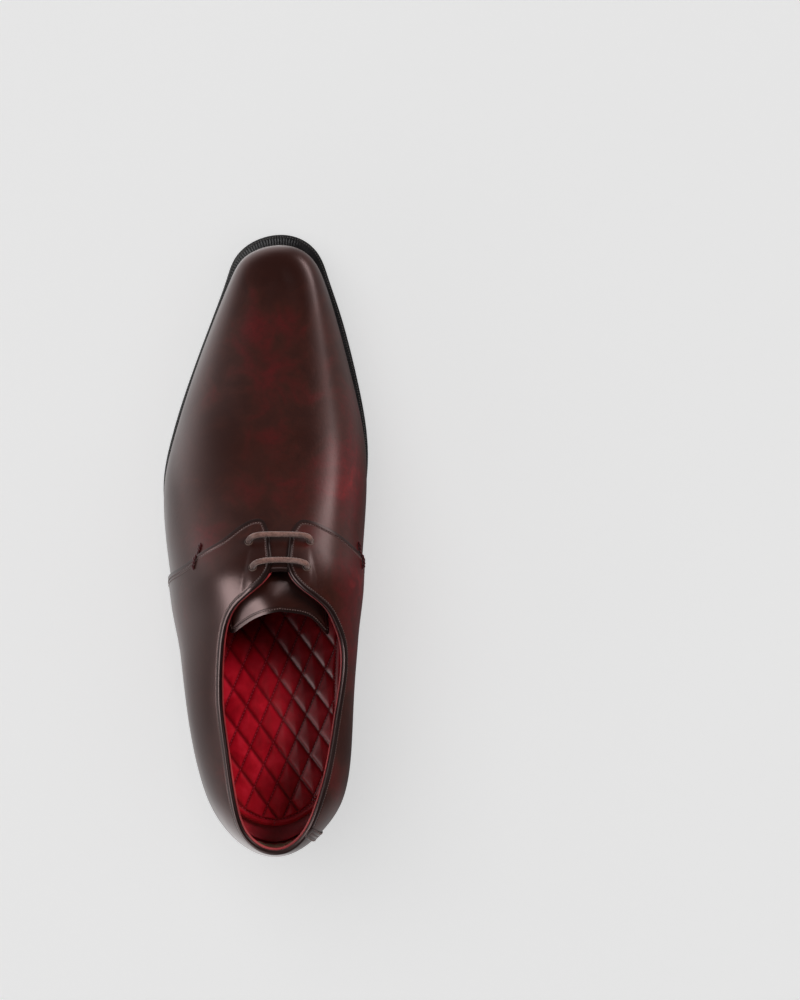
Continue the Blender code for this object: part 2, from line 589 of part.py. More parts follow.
def build_bar_tacks(look):
    """A thick loop of thread over the seam where each quarter meets the vamp, to take the strain."""
    half_length, thread = 6.5, 0.65
    for side, name, v in ((-1, "lateral", 0.60), (1, "medial", 0.40)):
        reach = np.linspace(-half_length, half_length, 7)
        psi = station(float(SEAM[side](v)) + reach, side)
        stand = LIFT + GAP + 0.7 + 0.5 * np.cos(reach / half_length * np.pi / 2)
        rod(f"bar_tack_{name}", last(psi, v + reach * 0.004, stand), thread, look["thread"])


def hang_tongue():
    """The tongue and its lining swing together on the seam that holds them under the vamp."""
    hinge = bpy.data.objects.new("tongue_hinge", None)
    hinge.location = Vector(HINGE) * MM
    bpy.context.collection.objects.link(hinge)
    bpy.context.view_layer.update()
    for name in ("tongue", "tongue_lining"):
        piece = bpy.data.objects[name]
        piece.parent = hinge
        piece.matrix_parent_inverse = hinge.matrix_world.inverted()


def main():
    for obj in list(bpy.data.objects):
        bpy.data.objects.remove(obj, do_unlink=True)
    look = piece_set()
    build_bottom(look)
    build_heel(look)
    quarters, linings = build_upper(look)
    build_facings(look, quarters, linings)
    build_tongue(look)
    build_lace(look)
    build_bar_tacks(look)
    hang_tongue()


main()
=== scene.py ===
"""A polished burgundy derby shoe on a pale floor, seen from straight above.

The fine surfaces repeat the shape of the CAD model's last. A place on the last has a station (an angle
round the plan outline, 0 at the toe and pi at the heel, negative on the lateral side) and a height fraction
(0 at the feather line, 1 at the ridge). Sizes are in millimetres until a mesh is made.
"""

import bmesh
import bpy
import numpy as np
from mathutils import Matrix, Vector
from mathutils.kdtree import KDTree


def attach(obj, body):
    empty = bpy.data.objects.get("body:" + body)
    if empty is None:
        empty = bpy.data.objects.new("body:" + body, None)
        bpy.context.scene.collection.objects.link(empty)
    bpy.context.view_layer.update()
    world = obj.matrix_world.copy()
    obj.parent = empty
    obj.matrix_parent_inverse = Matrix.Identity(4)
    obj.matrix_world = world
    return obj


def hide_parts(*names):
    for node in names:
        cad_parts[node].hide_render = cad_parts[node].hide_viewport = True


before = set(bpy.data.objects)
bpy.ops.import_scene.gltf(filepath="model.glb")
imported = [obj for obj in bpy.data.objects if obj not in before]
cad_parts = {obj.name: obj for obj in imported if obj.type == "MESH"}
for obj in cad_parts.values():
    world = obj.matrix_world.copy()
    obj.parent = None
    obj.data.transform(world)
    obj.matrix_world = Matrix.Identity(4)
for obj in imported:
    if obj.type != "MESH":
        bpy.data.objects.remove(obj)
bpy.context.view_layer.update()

MM = 0.001
HEEL_Y, TOE_Y = -150.5, 144.7
MID_Y, HALF_LENGTH = (HEEL_Y + TOE_Y) / 2, (TOE_Y - HEEL_Y) / 2
GAP = 0.3
OUTER, STIFFENER, LINING = 1.2, 0.5, 0.8
LINING_IN = OUTER + GAP + STIFFENER + GAP
INSIDE = LINING_IN + LINING
LIFT, LIFT_FADE, OVERLAP = 1.5, 26.0, 7.0
SOLE, WELT, INSOLE, FOAM, SOCK = 5.0, 3.0, 2.5, 3.0, 1.0
FEATHER = SOLE + WELT + 2 * GAP
SOCK_AT = FEATHER + INSIDE + GAP + INSOLE + GAP
MARGIN, LOW = 10.0, -0.25
BREAST_Y, TOP_PIECE, LIFTS, EDGE_TAPER = -82.0, 6.0, 3, 0.5
LACE, LACE_SIDES, HOLE = 1.35, 28, 1.8
TONGUE_IN = INSIDE + 2 * LACE + 2.2
TONGUE, TONGUE_LINING = 1.3, 0.8
V_BULGE, V_TURN = 0.2, 0.05
CAMERA_HEIGHT = 1500.0
RIB_PITCH, RIB_DEPTH = 1.5, 0.45
BORDER, QUILT_PUFF = 3.2, 1.2
# Each set of quilting lines: slope in degrees, spacing, offset; then the width of its crease
QUILT = {"creased": (-53.0, 10.3, 4.35), "stitched": (66.5, 9.45, 4.99)}
CREASE = {"creased": 0.75, "stitched": 0.6}
SOCK_BACK, SOCK_SQUEEZE = -115.0, 0.77
TACK_V = {-1: 0.60, 1: 0.40}
TACK_REACH, TACK_STRAND, TACK_TWIST = 6.9, 0.36, 3.4
HEEL_PINS, PIN_INSET, PIN_RADIUS = 6, 5.0, 0.8
TONGUE_CROWN = 2.5
SEW_INSETS = (2.05, 3.6)        # the stitch rows' distances from a quarter's edge
WELT_ROW = 1.1                  # the welt stitches' distance from its edge
TIP_V = {-1: 0.955, 1: 0.96}    # where each quarter's seam ends, at the facing's tip
SPLIT_V = {-1: 0.935, 1: 0.945}  # where a quarter's patch passes from its front side to its top side
STEP = 1e-3
# Where the patina is brushed red: x, y, width, length, strength
RED_PATCHES = [(38, 29, 12, 16, 1.1), (-30, 2, 10, 12, 0.8), (-6, 104, 7, 10, 0.7), (12, 108, 6, 9, 0.7),
               (3, 84, 8, 10, 0.5), (2, 48, 12, 12, 0.4), (42, 60, 6, 30, 0.5), (45, -30, 12, 40, 1.0),
               (20, 24, 14, 10, 0.4), (-42, -50, 8, 40, 0.35), (22, 5, 10, 8, 0.5), (-8, 30, 14, 14, 0.25)]


# ---------------------------------------------------------------- curves and the last

def smooth(points):
    """A natural cubic through a few (place, value) pairs."""
    x, y = np.array(points, float).T
    step, count = np.diff(x), len(x)
    a, b = np.eye(count), np.zeros(count)
    for i in range(1, count - 1):
        a[i, i - 1:i + 2] = step[i - 1], 2 * (step[i - 1] + step[i]), step[i]
        b[i] = 6 * ((y[i + 1] - y[i]) / step[i] - (y[i] - y[i - 1]) / step[i - 1])
    bend = np.linalg.solve(a, b)

    def at(place):
        place = np.clip(np.asarray(place, float), x[0], x[-1])
        i = np.clip(np.searchsorted(x, place) - 1, 0, count - 2)
        right, left, h = x[i + 1] - place, place - x[i], step[i]
        cubic = (bend[i] * right ** 3 + bend[i + 1] * left ** 3) / (6 * h)
        return cubic + (y[i] / h - bend[i] * h / 6) * right + (y[i + 1] / h - bend[i + 1] * h / 6) * left
    return at


def station(y, side=1.0):
    return side * np.arccos(np.clip((np.asarray(y, float) - MID_Y) / HALF_LENGTH, -1, 1))


def y_of(psi):
    return MID_Y + HALF_LENGTH * np.cos(psi)


def ring(rows):
    """A smooth closed function of station, from (y, lateral value, medial value) rows from toe to heel."""
    medial = [(float(station(y)), right) for y, left, right in rows]
    lateral = [(-float(station(y)), left) for y, left, right in rows[1:-1]]
    turn = sorted(medial + lateral)
    around = [(a - 2 * np.pi, b) for a, b in turn] + turn + [(a + 2 * np.pi, b) for a, b in turn]
    curve = smooth([p for p in around if -4.5 < p[0] < 4.5])
    return lambda psi: curve((np.asarray(psi, float) + np.pi) % (2 * np.pi) - np.pi)


def ease(t):
    t = np.clip(t, 0, 1)
    return t * t * (3 - 2 * t)


OUTLINE = ring([(TOE_Y, 7.5, 7.5), (137, -11.8, 24.0), (128, -16.9, 28.7), (118, -21.1, 32.2),
                (89, -32.3, 40.3), (69, -39.1, 45.2), (49, -45, 48.9), (29.5, -49.2, 49.9), (10, -49.4, 48.9),
                (-15, -46.5, 46.9), (-43.5, -42.5, 45.3), (-67, -39.6, 43.3), (-91, -36.2, 42.0),
                (-114.6, -30.8, 39.8), (-126.4, -26.4, 36.2), (-138.3, -18.6, 27.8), (HEEL_Y, 4.6, 4.6)])
UNDERCUT = ring([(TOE_Y, 3, 3), (110, 4, 4), (50, 5, 5), (10, 6, 8), (-20, 6.5, 11.5), (-50, 7, 12),
                 (-80, 6, 7.5), (-110, 5, 5.5), (HEEL_Y, 4.5, 4.5)])
BULGE = ring([(TOE_Y, 8, 8), (110, 9, 9), (50, 11, 12), (0, 15, 20), (-50, 20, 26), (-100, 23, 24),
              (HEEL_Y, 24, 24)])
FULLNESS = ring([(TOE_Y, 0.8, 0.8), (110, 0.85, 0.85), (60, 0.92, 0.85), (10, 0.95, 0.8), (-50, 1, 0.7),
                 (-75, 1, 0.66), (-110, 0.95, 0.7), (HEEL_Y, 0.75, 0.75)])
RIDGE_X = smooth([(-131, 4.6), (-60, 6.8), (0, 7.2), (60, 9.5), (126, 8)])
RIDGE_Z = smooth([(-131, 101), (-100, 90), (-73, 82), (-45, 84), (-16, 85.5), (0, 77.5), (20, 67.5), (45, 57),
                  (75, 48.5), (105, 41.5), (126, 36.5)])
RIDGE_BACK, RIDGE_TOE, TOE_SLOPE = -131.0, 126.0, 0.12
CAP, CAP_BLEND = 0.2, 0.3      # how the two sides are rounded into each other at the ridge
GROUND = smooth([(-152, 25), (-120, 23.8), (-90, 21.4), (-70, 18.2), (-50, 13.2), (-20, 5.2), (10, 0.7),
                 (35, 0), (60, 0.5), (90, 2.4), (120, 5.8), (152, 11.2)])
SOLE_EDGE = ring([(TOE_Y, -5.8, -5.8), (139, -4.2, -4.6), (128, -2.3, -2.9), (110, -1.5, -3.1),
                  (85, -1.5, -3.1), (50, -1.7, -2), (30, -1.1, -0.6), (10, 0.3, 2), (-20, 2.5, 7),
                  (-50, 3, 8), (-80, 2.5, 4.5), (-110, 2, 2.6), (HEEL_Y, 1.5, 1.5)])
TOP_LINE = ring([(TOE_Y, 0.96, 0.96), (60, 0.955, 0.965), (5, 0.954, 0.966), (-5, 0.962, 0.975),
                 (-13, 0.962, 0.977), (-20, 0.932, 0.953), (-26, 0.868, 0.885), (-32, 0.794, 0.772),
                 (-40, 0.734, 0.675), (-50, 0.698, 0.585), (-62, 0.675, 0.55), (-80, 0.656, 0.6),
                 (-100, 0.664, 0.65), (-118, 0.664, 0.682), (-130, 0.645, 0.68), (-141, 0.59, 0.62),
                 (HEEL_Y, 0.56, 0.56)])
SEAM = {-1: smooth([(-0.25, -20), (0, -20), (0.2, -19), (0.34, -16), (0.51, -11.8), (0.66, -4.6),
                    (0.765, 1.3), (0.81, 5.2), (0.86, 9.2), (0.9, 11.1), (0.925, 11), (0.945, 8),
                    (0.955, 4)]),
        1: smooth([(-0.25, -10), (0, -10), (0.2, -9.5), (0.4, -7.1), (0.57, -1.7), (0.69, 3.3), (0.8, 7.7),
                   (0.87, 10), (0.91, 10.6), (0.94, 9), (0.96, 5)])}
BACK_SEAM = 2.78
TAB_Y = -16.0
HOLES = {-1: [(-0.8, 0.872), (-14.0, 0.885)], 1: [(-0.7, 0.87), (-13.8, 0.89)]}
SIDES = {-1: "lateral", 1: "medial"}


def ridge_height(y):
    return RIDGE_Z(y) - TOE_SLOPE * np.maximum(y - RIDGE_TOE, 0)


def last_raw(psi, v):
    y = y_of(psi)
    x = OUTLINE(psi)
    ridge_y = RIDGE_BACK + (y - HEEL_Y) * (RIDGE_TOE - RIDGE_BACK) / (TOE_Y - HEEL_Y)
    dx, dy = RIDGE_X(ridge_y) - x, ridge_y - y
    width = np.hypot(dx, dy)
    dx, dy = dx / width, dy / width
    cut, power = UNDERCUT(psi), FULLNESS(psi)
    foot = GROUND(y + dy * cut) + FEATHER
    waist = foot + BULGE(psi)
    low = (np.clip(v / V_BULGE, 0, 1) - 1) * np.pi / 2
    high = np.clip((v - V_BULGE) / (1 - V_BULGE), 0, 1) * np.pi / 2
    below = v < V_BULGE
    from_ridge = np.maximum(np.cos(high), 0) ** power
    inward = np.where(below, cut * (1 - np.cos(low)), width * (1 - from_ridge))
    inward = inward + np.where(v < 0, v / LOW * MARGIN, 0)
    cap = CAP * ease((y - 2) / 20)
    crown = (from_ridge ** 2 + cap ** 2) ** (1 / power) - cap ** (2 / power)
    crown = np.clip(1 - crown / ((1 + cap ** 2) ** (1 / power) - cap ** (2 / power)), 0, 1) ** (power / 2)
    z = waist + np.where(below, (waist - foot) * np.sin(low), (ridge_height(ridge_y) - waist) * crown)
    z = np.where(v < 0, GROUND(y + dy * inward) + FEATHER, z)
    blend = np.exp(-(from_ridge / CAP_BLEND) ** 2) * ~below
    z = z + blend * (ridge_height(y + dy * inward) - ridge_height(ridge_y))
    return np.stack([x + dx * inward, y + dy * inward, z], -1)


def last(psi, v, out=0.0):
    """Points at a distance outward from the last, at stations psi and height fractions v."""
    psi, v, out = np.broadcast_arrays(*(np.asarray(n, float) for n in (psi, v, out)))

    def normal(psi):
        at = np.minimum(v, 1 - 2 * STEP)
        along = last_raw(psi + STEP, at) - last_raw(psi - STEP, at)
        up = last_raw(psi, at + STEP) - last_raw(psi, at - STEP)
        n = np.cross(up, along)
        return n / np.linalg.norm(n, axis=-1, keepdims=True)

    mine, other = normal(psi), normal(-psi)
    both = (mine + other) / np.linalg.norm(mine + other, axis=-1, keepdims=True)
    return last_raw(psi, v) + np.where((v >= 1)[..., None], both, mine) * out[..., None]


def on_last(line, out=0.0):
    """Points on the last, or at a distance out from it, for a (psi, v) line or grid."""
    return last(line[..., 0], line[..., 1], out)


def plan(psi, inset):
    """The outline moved inward."""
    def at(angle):
        return np.stack([OUTLINE(angle), y_of(angle)], -1)
    along = at(psi + STEP) - at(psi - STEP)
    along /= np.linalg.norm(along, axis=-1, keepdims=True)
    return at(psi) + np.stack([along[..., 1], -along[..., 0]], -1) * np.asarray(inset)[..., None]


def wall_inset(psi, height):
    """How far inside the outline the lining's face stands, at a height over the ground line."""
    v = np.linspace(0.02, 0.8, 50)
    shape = last(psi[:, None], v[None], -INSIDE)
    over = shape[..., 2] - GROUND(shape[..., 1])
    edge = np.stack([OUTLINE(psi), y_of(psi)], -1)
    inset = np.linalg.norm(shape[..., :2] - edge[:, None], axis=-1)
    return np.array([np.interp(height, over[i], inset[i]) for i in range(len(psi))])


def quarter_lift(side, psi, v):
    """The quarter stands out over the vamp behind the seam, and over the vamp's tab along the facing."""
    y = y_of(psi)
    over_vamp = 1 - ease((SEAM[side](v) - y - OVERLAP - 5) / LIFT_FADE)
    over_tab = ease((v - 0.8) / 0.08) * (1 - ease((TAB_Y - 4 - y) / LIFT_FADE))
    return LIFT * ease(v / V_TURN) * np.maximum(over_vamp, over_tab)


def lift_of(side, line):
    return quarter_lift(side, line[..., 0], line[..., 1])


# ---------------------------------------------------------------- lines on the last

def length_along(points):
    return np.concatenate([[0], np.cumsum(np.linalg.norm(np.diff(points, axis=0), axis=1))])


def spread(line, count, fine=0.0):
    """A (psi, v) line resampled evenly by length; fine > 0 crowds the points towards both ends."""
    run = length_along(on_last(line))
    t = np.linspace(0, 1, count)
    t = t * (1 - fine) + (1 - np.cos(np.pi * t)) / 2 * fine
    return np.stack([np.interp(t * run[-1], run, line[:, k]) for k in (0, 1)], -1)


def inset_line(line, distance, turn=1.0):
    """A (psi, v) line moved sideways over the last by a distance, which may differ from point to point."""
    psi, v = line[:, 0], line[:, 1]
    at = np.minimum(v, 1 - 2 * STEP)
    by_psi = (last_raw(psi + STEP, at) - last_raw(psi - STEP, at)) / (2 * STEP)
    by_v = (last_raw(psi, at + STEP) - last_raw(psi, at - STEP)) / (2 * STEP)
    along = np.gradient(last_raw(psi, v), axis=0)
    normal = np.cross(by_v, by_psi)
    aside = np.cross(normal, along) * turn
    aside *= (distance / np.linalg.norm(aside, axis=1))[:, None]
    moved = line.copy()
    for i in range(len(line)):
        step = np.linalg.lstsq(np.stack([by_psi[i], by_v[i]], 1), aside[i], rcond=None)[0]
        moved[i] += step
    return moved


def seam_line(side, low, high):
    """The front edge of a quarter, up to a height fraction."""
    v = np.linspace(low, high, 300)
    return np.stack([station(SEAM[side](v), side), v], -1)


def top_line(side, to_psi):
    """The facing and the collar, from the facing's tip back to a station."""
    psi = side * np.linspace(float(station(3.0)), to_psi, 500)
    return np.stack([psi, TOP_LINE(psi)], -1)


def coons(front, back, bottom, top):
    """Fills four (psi, v) sides: front and back run upward, bottom and top run from front to back."""
    s, t = np.linspace(0, 1, len(top))[:, None, None], np.linspace(0, 1, len(front))[None, :, None]
    ruled = (1 - s) * front[None] + s * back[None] + (1 - t) * bottom[:, None] + t * top[:, None]
    corners = ((1 - s) * (1 - t) * front[0] + s * (1 - t) * back[0]
               + (1 - s) * t * front[-1] + s * t * back[-1])
    return ruled - corners


# ---------------------------------------------------------------- mesh helpers

def tree_of(points):
    """A search tree of points; flat ones get a height of 0."""
    points = np.asarray(points, float)
    if points.shape[1] == 2:
        points = np.column_stack([points, np.zeros(len(points))])
    tree = KDTree(len(points))
    for i, point in enumerate(points):
        tree.insert(point, i)
    tree.balance()
    return tree


def keep_values(obj, name, values):
    obj.data.attributes.new(name, "FLOAT", "POINT").data.foreach_set("value", values)


def make_object(name, points, faces, look, body="shoe"):
    mesh = bpy.data.meshes.new(name)
    mesh.from_pydata((np.asarray(points, float) * MM).tolist(), [], [list(map(int, f)) for f in faces])
    mesh.validate()
    mesh.shade_smooth()
    obj = bpy.data.objects.new(name, mesh)
    obj.data.materials.append(look)
    bpy.context.collection.objects.link(obj)
    if body:
        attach(obj, body)
    return obj


def weld(obj, distance=1e-6):
    bm = bmesh.new()
    bm.from_mesh(obj.data)
    bmesh.ops.remove_doubles(bm, verts=bm.verts, dist=distance)
    bmesh.ops.dissolve_degenerate(bm, edges=bm.edges, dist=distance)
    bmesh.ops.recalc_face_normals(bm, faces=bm.faces)
    bm.to_mesh(obj.data)
    bm.free()
    obj.data.shade_smooth()


def grid_faces(rows, cols, flip=False, closed=False):
    """Quads between neighbouring rows of points; closed joins the last column to the first."""
    i, j = np.meshgrid(np.arange(rows - 1), np.arange(cols if closed else cols - 1), indexing="ij")
    j_next = (j + 1) % cols
    low, high = i * cols, (i + 1) * cols
    quads = np.stack([low + j, low + j_next, high + j_next, high + j], -1).reshape(-1, 4)
    return quads[:, ::-1] if flip else quads


def end_caps(rows, cols):
    """The two faces that close a tube of points, first ring and last."""
    return [list(range(cols))[::-1], list(range((rows - 1) * cols, rows * cols))]


def round_edges(obj, width, segments=3, angle=1.0):
    bevel = obj.modifiers.new("rounded_edge", "BEVEL")
    bevel.width, bevel.segments, bevel.limit_method, bevel.angle_limit = width * MM, segments, "ANGLE", angle


def leather_sheet(name, points, look, thickness, edge=0.35, body="shoe", replaces=()):
    """One face of leather as a grid of points, given its thickness inward and rounded cut edges."""
    rows, cols = points.shape[:2]
    i, j = rows // 2, cols // 4
    core = np.array([7.0, np.clip(points[i, j, 1], -110, 110), 25.0])
    facing = np.cross(points[i, j + 1] - points[i, j], points[i + 1, j] - points[i, j])
    flip = facing @ (points[i, j] - core) < 0
    obj = make_object(name, points.reshape(-1, 3), grid_faces(rows, cols, flip), look, body)
    bm = bmesh.new()
    bm.from_mesh(obj.data)
    bmesh.ops.remove_doubles(bm, verts=bm.verts, dist=1e-6)
    bm.to_mesh(obj.data)
    bm.free()
    obj.data.shade_smooth()
    solid = obj.modifiers.new("thickness", "SOLIDIFY")
    solid.thickness, solid.offset = thickness * MM, -1
    if edge:
        round_edges(obj, edge)
    if replaces:
        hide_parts(*replaces)
    return obj


def plate(name, lower, upper, look, edge=0.5, body="shoe", replaces=()):
    """A closed plate between two grids of points, with rounded edges."""
    rows, cols = lower.shape[:2]
    count = rows * cols
    index = np.arange(count).reshape(rows, cols)
    rim = np.concatenate([index[0, :-1], index[:-1, -1], index[-1, :0:-1], index[:0:-1, 0]])
    walls = np.stack([rim, np.roll(rim, -1), np.roll(rim, -1) + count, rim + count], 1)
    faces = [*grid_faces(rows, cols), *(grid_faces(rows, cols, True) + count), *walls]
    obj = make_object(name, np.concatenate([lower.reshape(-1, 3), upper.reshape(-1, 3)]), faces, look, body)
    weld(obj)
    if edge:
        round_edges(obj, edge, angle=0.9)
    if replaces:
        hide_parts(*replaces)
    return obj


def frames_along(points, up):
    along = np.gradient(points, axis=0)
    along /= np.linalg.norm(along, axis=1, keepdims=True)
    aside = np.cross(along, up)
    aside /= np.linalg.norm(aside, axis=1, keepdims=True)
    return along, aside, np.cross(aside, along)


def at_lengths(line, run, places):
    return np.stack([np.interp(places, run, line[:, k]) for k in range(line.shape[1])], -1)


def stitch_row(name, points, up, look, pitch=1.25, length=0.9, radius=0.27, sink=0.08, body="shoe"):
    """A row of short stitches along a line on a surface, each a capsule of thread pulled down at its ends."""
    run = length_along(points)
    places = np.arange(pitch / 2, run[-1] - pitch / 4, pitch)
    centre, lift = at_lengths(points, run, places), at_lengths(up, run, places)
    along, aside, lift = frames_along(centre, lift / np.linalg.norm(lift, axis=1, keepdims=True))
    rings, sides = 7, 8
    turn = np.arange(sides) * 2 * np.pi / sides
    lean = np.linspace(-np.pi / 2, np.pi / 2, rings)
    reach, width = np.sin(lean)[:, None], np.maximum(np.cos(lean), 0.05)[:, None] ** 0.6
    across = np.cos(turn) * radius * width
    rise = np.sin(turn) * radius * width * 0.8 - sink - abs(reach) ** 3 * radius * 1.3
    forth = np.broadcast_to(reach * length / 2, across.shape)
    shape = centre[:, None, None] + sum(amount[None, :, :, None] * axis[:, None, None]
                                        for amount, axis in ((across, aside), (rise, lift), (forth, along)))
    one = grid_faces(rings, sides, closed=True)
    faces = (np.arange(len(centre))[:, None, None] * rings * sides + one[None]).reshape(-1, 4)
    return make_object(name, shape.reshape(-1, 3), faces, look, body)


def stitches_facing_up(name, points, look, **sizes):
    stitch_row(name, points, np.tile([0.0, 0.0, 1.0], (len(points), 1)), look, **sizes)


def stitches_on_last(name, line, out, look):
    """A stitch row along a (psi, v) line, at a distance out from the last."""
    points = on_last(line, out)
    return stitch_row(name, points, on_last(line, out + 1) - points, look)


def ribbon(name, line, profile, look, lift, shift):
    """A strip swept along a (psi, v) line on the last; shift moves it sideways.

    Its profile holds rows of distance from the line, height, and share of the lift.
    """
    rows = []
    for aside, height, share in profile:
        rows.append(on_last(inset_line(line, aside + shift), lift * share + height))
    points = np.stack(rows, 1)
    obj = make_object(name, points.reshape(-1, 3), grid_faces(*points.shape[:2]), look)
    weld(obj)
    return obj


def tube(name, points, aside, lift, size, look, body="shoe"):
    """A closed tube round a line: size holds its radius at each point and each of its sides."""
    count, sides = size.shape
    turn = np.arange(sides) * 2 * np.pi / sides
    shape = points[:, None] + (np.cos(turn) * size)[..., None] * aside[:, None]
    shape = shape + (np.sin(turn) * size)[..., None] * lift[:, None]
    faces = [*grid_faces(count, sides, closed=True), *end_caps(count, sides)]
    return make_object(name, shape.reshape(-1, 3), faces, look, body)


def strand(name, points, radius, look, sides=10, up=(0, 0, 1), body="shoe"):
    """A round strand along a line."""
    _, aside, lift = frames_along(points, np.asarray(up, float))
    return tube(name, points, aside, lift, np.full((len(points), sides), radius), look, body)


def carried_frames(points):
    """Axes that turn along a winding line without twisting round it."""
    along = np.gradient(points, axis=0)
    along /= np.linalg.norm(along, axis=1, keepdims=True)
    aside = np.cross(along[0], (0.3, 0.1, 1.0))
    aside /= np.linalg.norm(aside)
    carried = []
    for step in along:
        aside = aside - step * (aside @ step)
        aside /= np.linalg.norm(aside)
        carried.append(aside)
    return along, np.array(carried)


# ---------------------------------------------------------------- materials

class Nodes:
    """A short way to write the nodes of a material or of the world."""

    def __init__(self, owner, place="Object"):
        owner.use_nodes = True
        self.owner, self.tree = owner, owner.node_tree
        self.place = self.add("ShaderNodeTexCoord").outputs[place]
        self.shader = self.tree.nodes.get("Principled BSDF")

    def add(self, kind, **settings):
        node = self.tree.nodes.new(kind)
        for key, value in settings.items():
            setattr(node, key, value)
        return node

    def link(self, source, target):
        self.tree.links.new(source, target)

    def put(self, socket, value):
        if hasattr(value, "is_linked"):
            self.link(value, socket)
        else:
            socket.default_value = value

    def stretched(self, scale, turn=(0, 0, 0)):
        node = self.add("ShaderNodeMapping")
        self.link(self.place, node.inputs["Vector"])
        node.inputs["Scale"].default_value = scale
        node.inputs["Rotation"].default_value = turn
        return node.outputs["Vector"]

    def texture(self, kind, place=None, **settings):
        """A texture node, read at a place: the object's own coordinates by default."""
        node = self.add(kind)
        self.link(place or self.place, node.inputs["Vector"])
        for key, value in settings.items():
            node.inputs[key].default_value = value
        return node.outputs

    def noise(self, scale, detail=4.0, rough=0.55, distortion=0.0, place=None):
        return self.texture("ShaderNodeTexNoise", place, Scale=scale, Detail=detail, Roughness=rough,
                            Distortion=distortion)["Fac"]

    def cells(self, scale):
        return self.texture("ShaderNodeTexVoronoi", Scale=scale)["Distance"]

    def ramp(self, value, stops):
        node = self.add("ShaderNodeValToRGB")
        self.link(value, node.inputs["Fac"])
        marks = node.color_ramp.elements
        while len(marks) < len(stops):
            marks.new(0.5)
        for mark, (at, color) in zip(marks, stops):
            mark.position, mark.color = at, (*color, 1)
        return node.outputs["Color"]

    def mix(self, factor, a, b):
        node = self.add("ShaderNodeMix", data_type="RGBA")
        for key, value in ((0, factor), (6, a), (7, b)):
            value = (*value, 1) if isinstance(value, tuple) and len(value) == 3 else value
            self.put(node.inputs[key], value)
        return node.outputs[2]

    def math(self, operation, a, b=0.0):
        node = self.add("ShaderNodeMath", operation=operation)
        self.put(node.inputs[0], a)
        self.put(node.inputs[1], b)
        return node.outputs[0]

    def span(self, value, low, high, to_low=0.0, to_high=1.0):
        node = self.add("ShaderNodeMapRange", interpolation_type="SMOOTHSTEP")
        for key, number in enumerate((value, low, high, to_low, to_high)):
            self.put(node.inputs[key], number)
        return node.outputs[0]

    def axes(self):
        node = self.add("ShaderNodeSeparateXYZ")
        self.link(self.place, node.inputs[0])
        return node.outputs

    def attribute(self, name):
        return self.add("ShaderNodeAttribute", attribute_name=name).outputs["Fac"]

    def bump(self, height, distance, strength=1.0, under=None):
        node = self.add("ShaderNodeBump")
        self.link(height, node.inputs["Height"])
        node.inputs["Distance"].default_value = distance * MM
        node.inputs["Strength"].default_value = strength
        if under is not None:
            self.link(under, node.inputs["Normal"])
        self.link(node.outputs["Normal"], self.shader.inputs["Normal"])
        return node.outputs["Normal"]

    def finish(self, color, roughness, **constants):
        self.put(self.shader.inputs["Base Color"], color)
        self.put(self.shader.inputs["Roughness"], roughness)
        for key, value in constants.items():
            self.shader.inputs[key.replace("_", " ").title().replace("Ior", "IOR")].default_value = value
        return self.owner


def material(name):
    return Nodes(bpy.data.materials.new(name))


def patina_leather(name, red=1.0):
    """Polished calf, brushed by hand from burgundy to nearly black, darkest at its cut edges."""
    n = material(name)
    broad = n.noise(17, 3, 0.55, 0.6)
    patches = n.noise(60, 4, 0.6, 0.9)
    tone = n.math("ADD", n.math("MULTIPLY", broad, 0.5), n.math("MULTIPLY", patches, 0.5))
    tone = n.math("ADD", n.span(tone, 0.42, 0.75, 0.05, 0.40), n.math("MULTIPLY", n.attribute("red"), 0.5))
    tone = n.math("MULTIPLY", tone, n.span(patches, 0.2, 0.7, 0.75, 1.2))
    dark, umber = (0.018, 0.0045, 0.003), (0.036, 0.008, 0.005)
    wine, bright = (0.075 * red, 0.005, 0.0055), (0.17 * red, 0.007, 0.009)
    color = n.ramp(tone, [(0.0, dark), (0.22, umber), (0.6, wine), (1.0, bright)])
    fine = n.noise(420, 3, 0.6)
    color = n.mix(n.span(fine, 0.4, 0.7, 0.0, 0.3), color, dark)
    edge = n.attribute("edge_mm")
    color = n.mix(n.span(edge, 0.6, 3.0, 0.85, 0.0), color, (0.006, 0.0028, 0.0025))
    grain = n.cells(780)
    pores = n.noise(1500, 2, 0.5)
    fold = n.noise(160, 3, 0.6, 0.4, n.stretched((0.35, 1.6, 1.0)))
    groove = n.span(n.math("ABSOLUTE", n.math("SUBTRACT", edge, 2.05)), 0.0, 0.7)
    normal = n.bump(fold, 0.16, 0.2)
    normal = n.bump(groove, 0.25, 0.8, normal)
    normal = n.bump(grain, 0.05, 0.25, normal)
    n.bump(pores, 0.02, 0.3, normal)
    rough = n.span(broad, 0.3, 0.7, 0.30, 0.40)
    return n.finish(color, rough, coat_weight=0.12, coat_roughness=0.28, specular_ior_level=0.55,
                    specular_tint=(1.0, 0.7, 0.68, 1))


def lining_leather(name, color, roughness=0.45):
    n = material(name)
    tone = n.noise(60, 4, 0.6)
    shade = tuple(c * 0.55 for c in color)
    mixed = n.mix(n.span(tone, 0.3, 0.7), shade, color)
    normal = n.bump(n.cells(900), 0.04, 0.3)
    n.bump(n.noise(220, 3), 0.1, 0.2, normal)
    return n.finish(mixed, roughness, specular_ior_level=0.4)


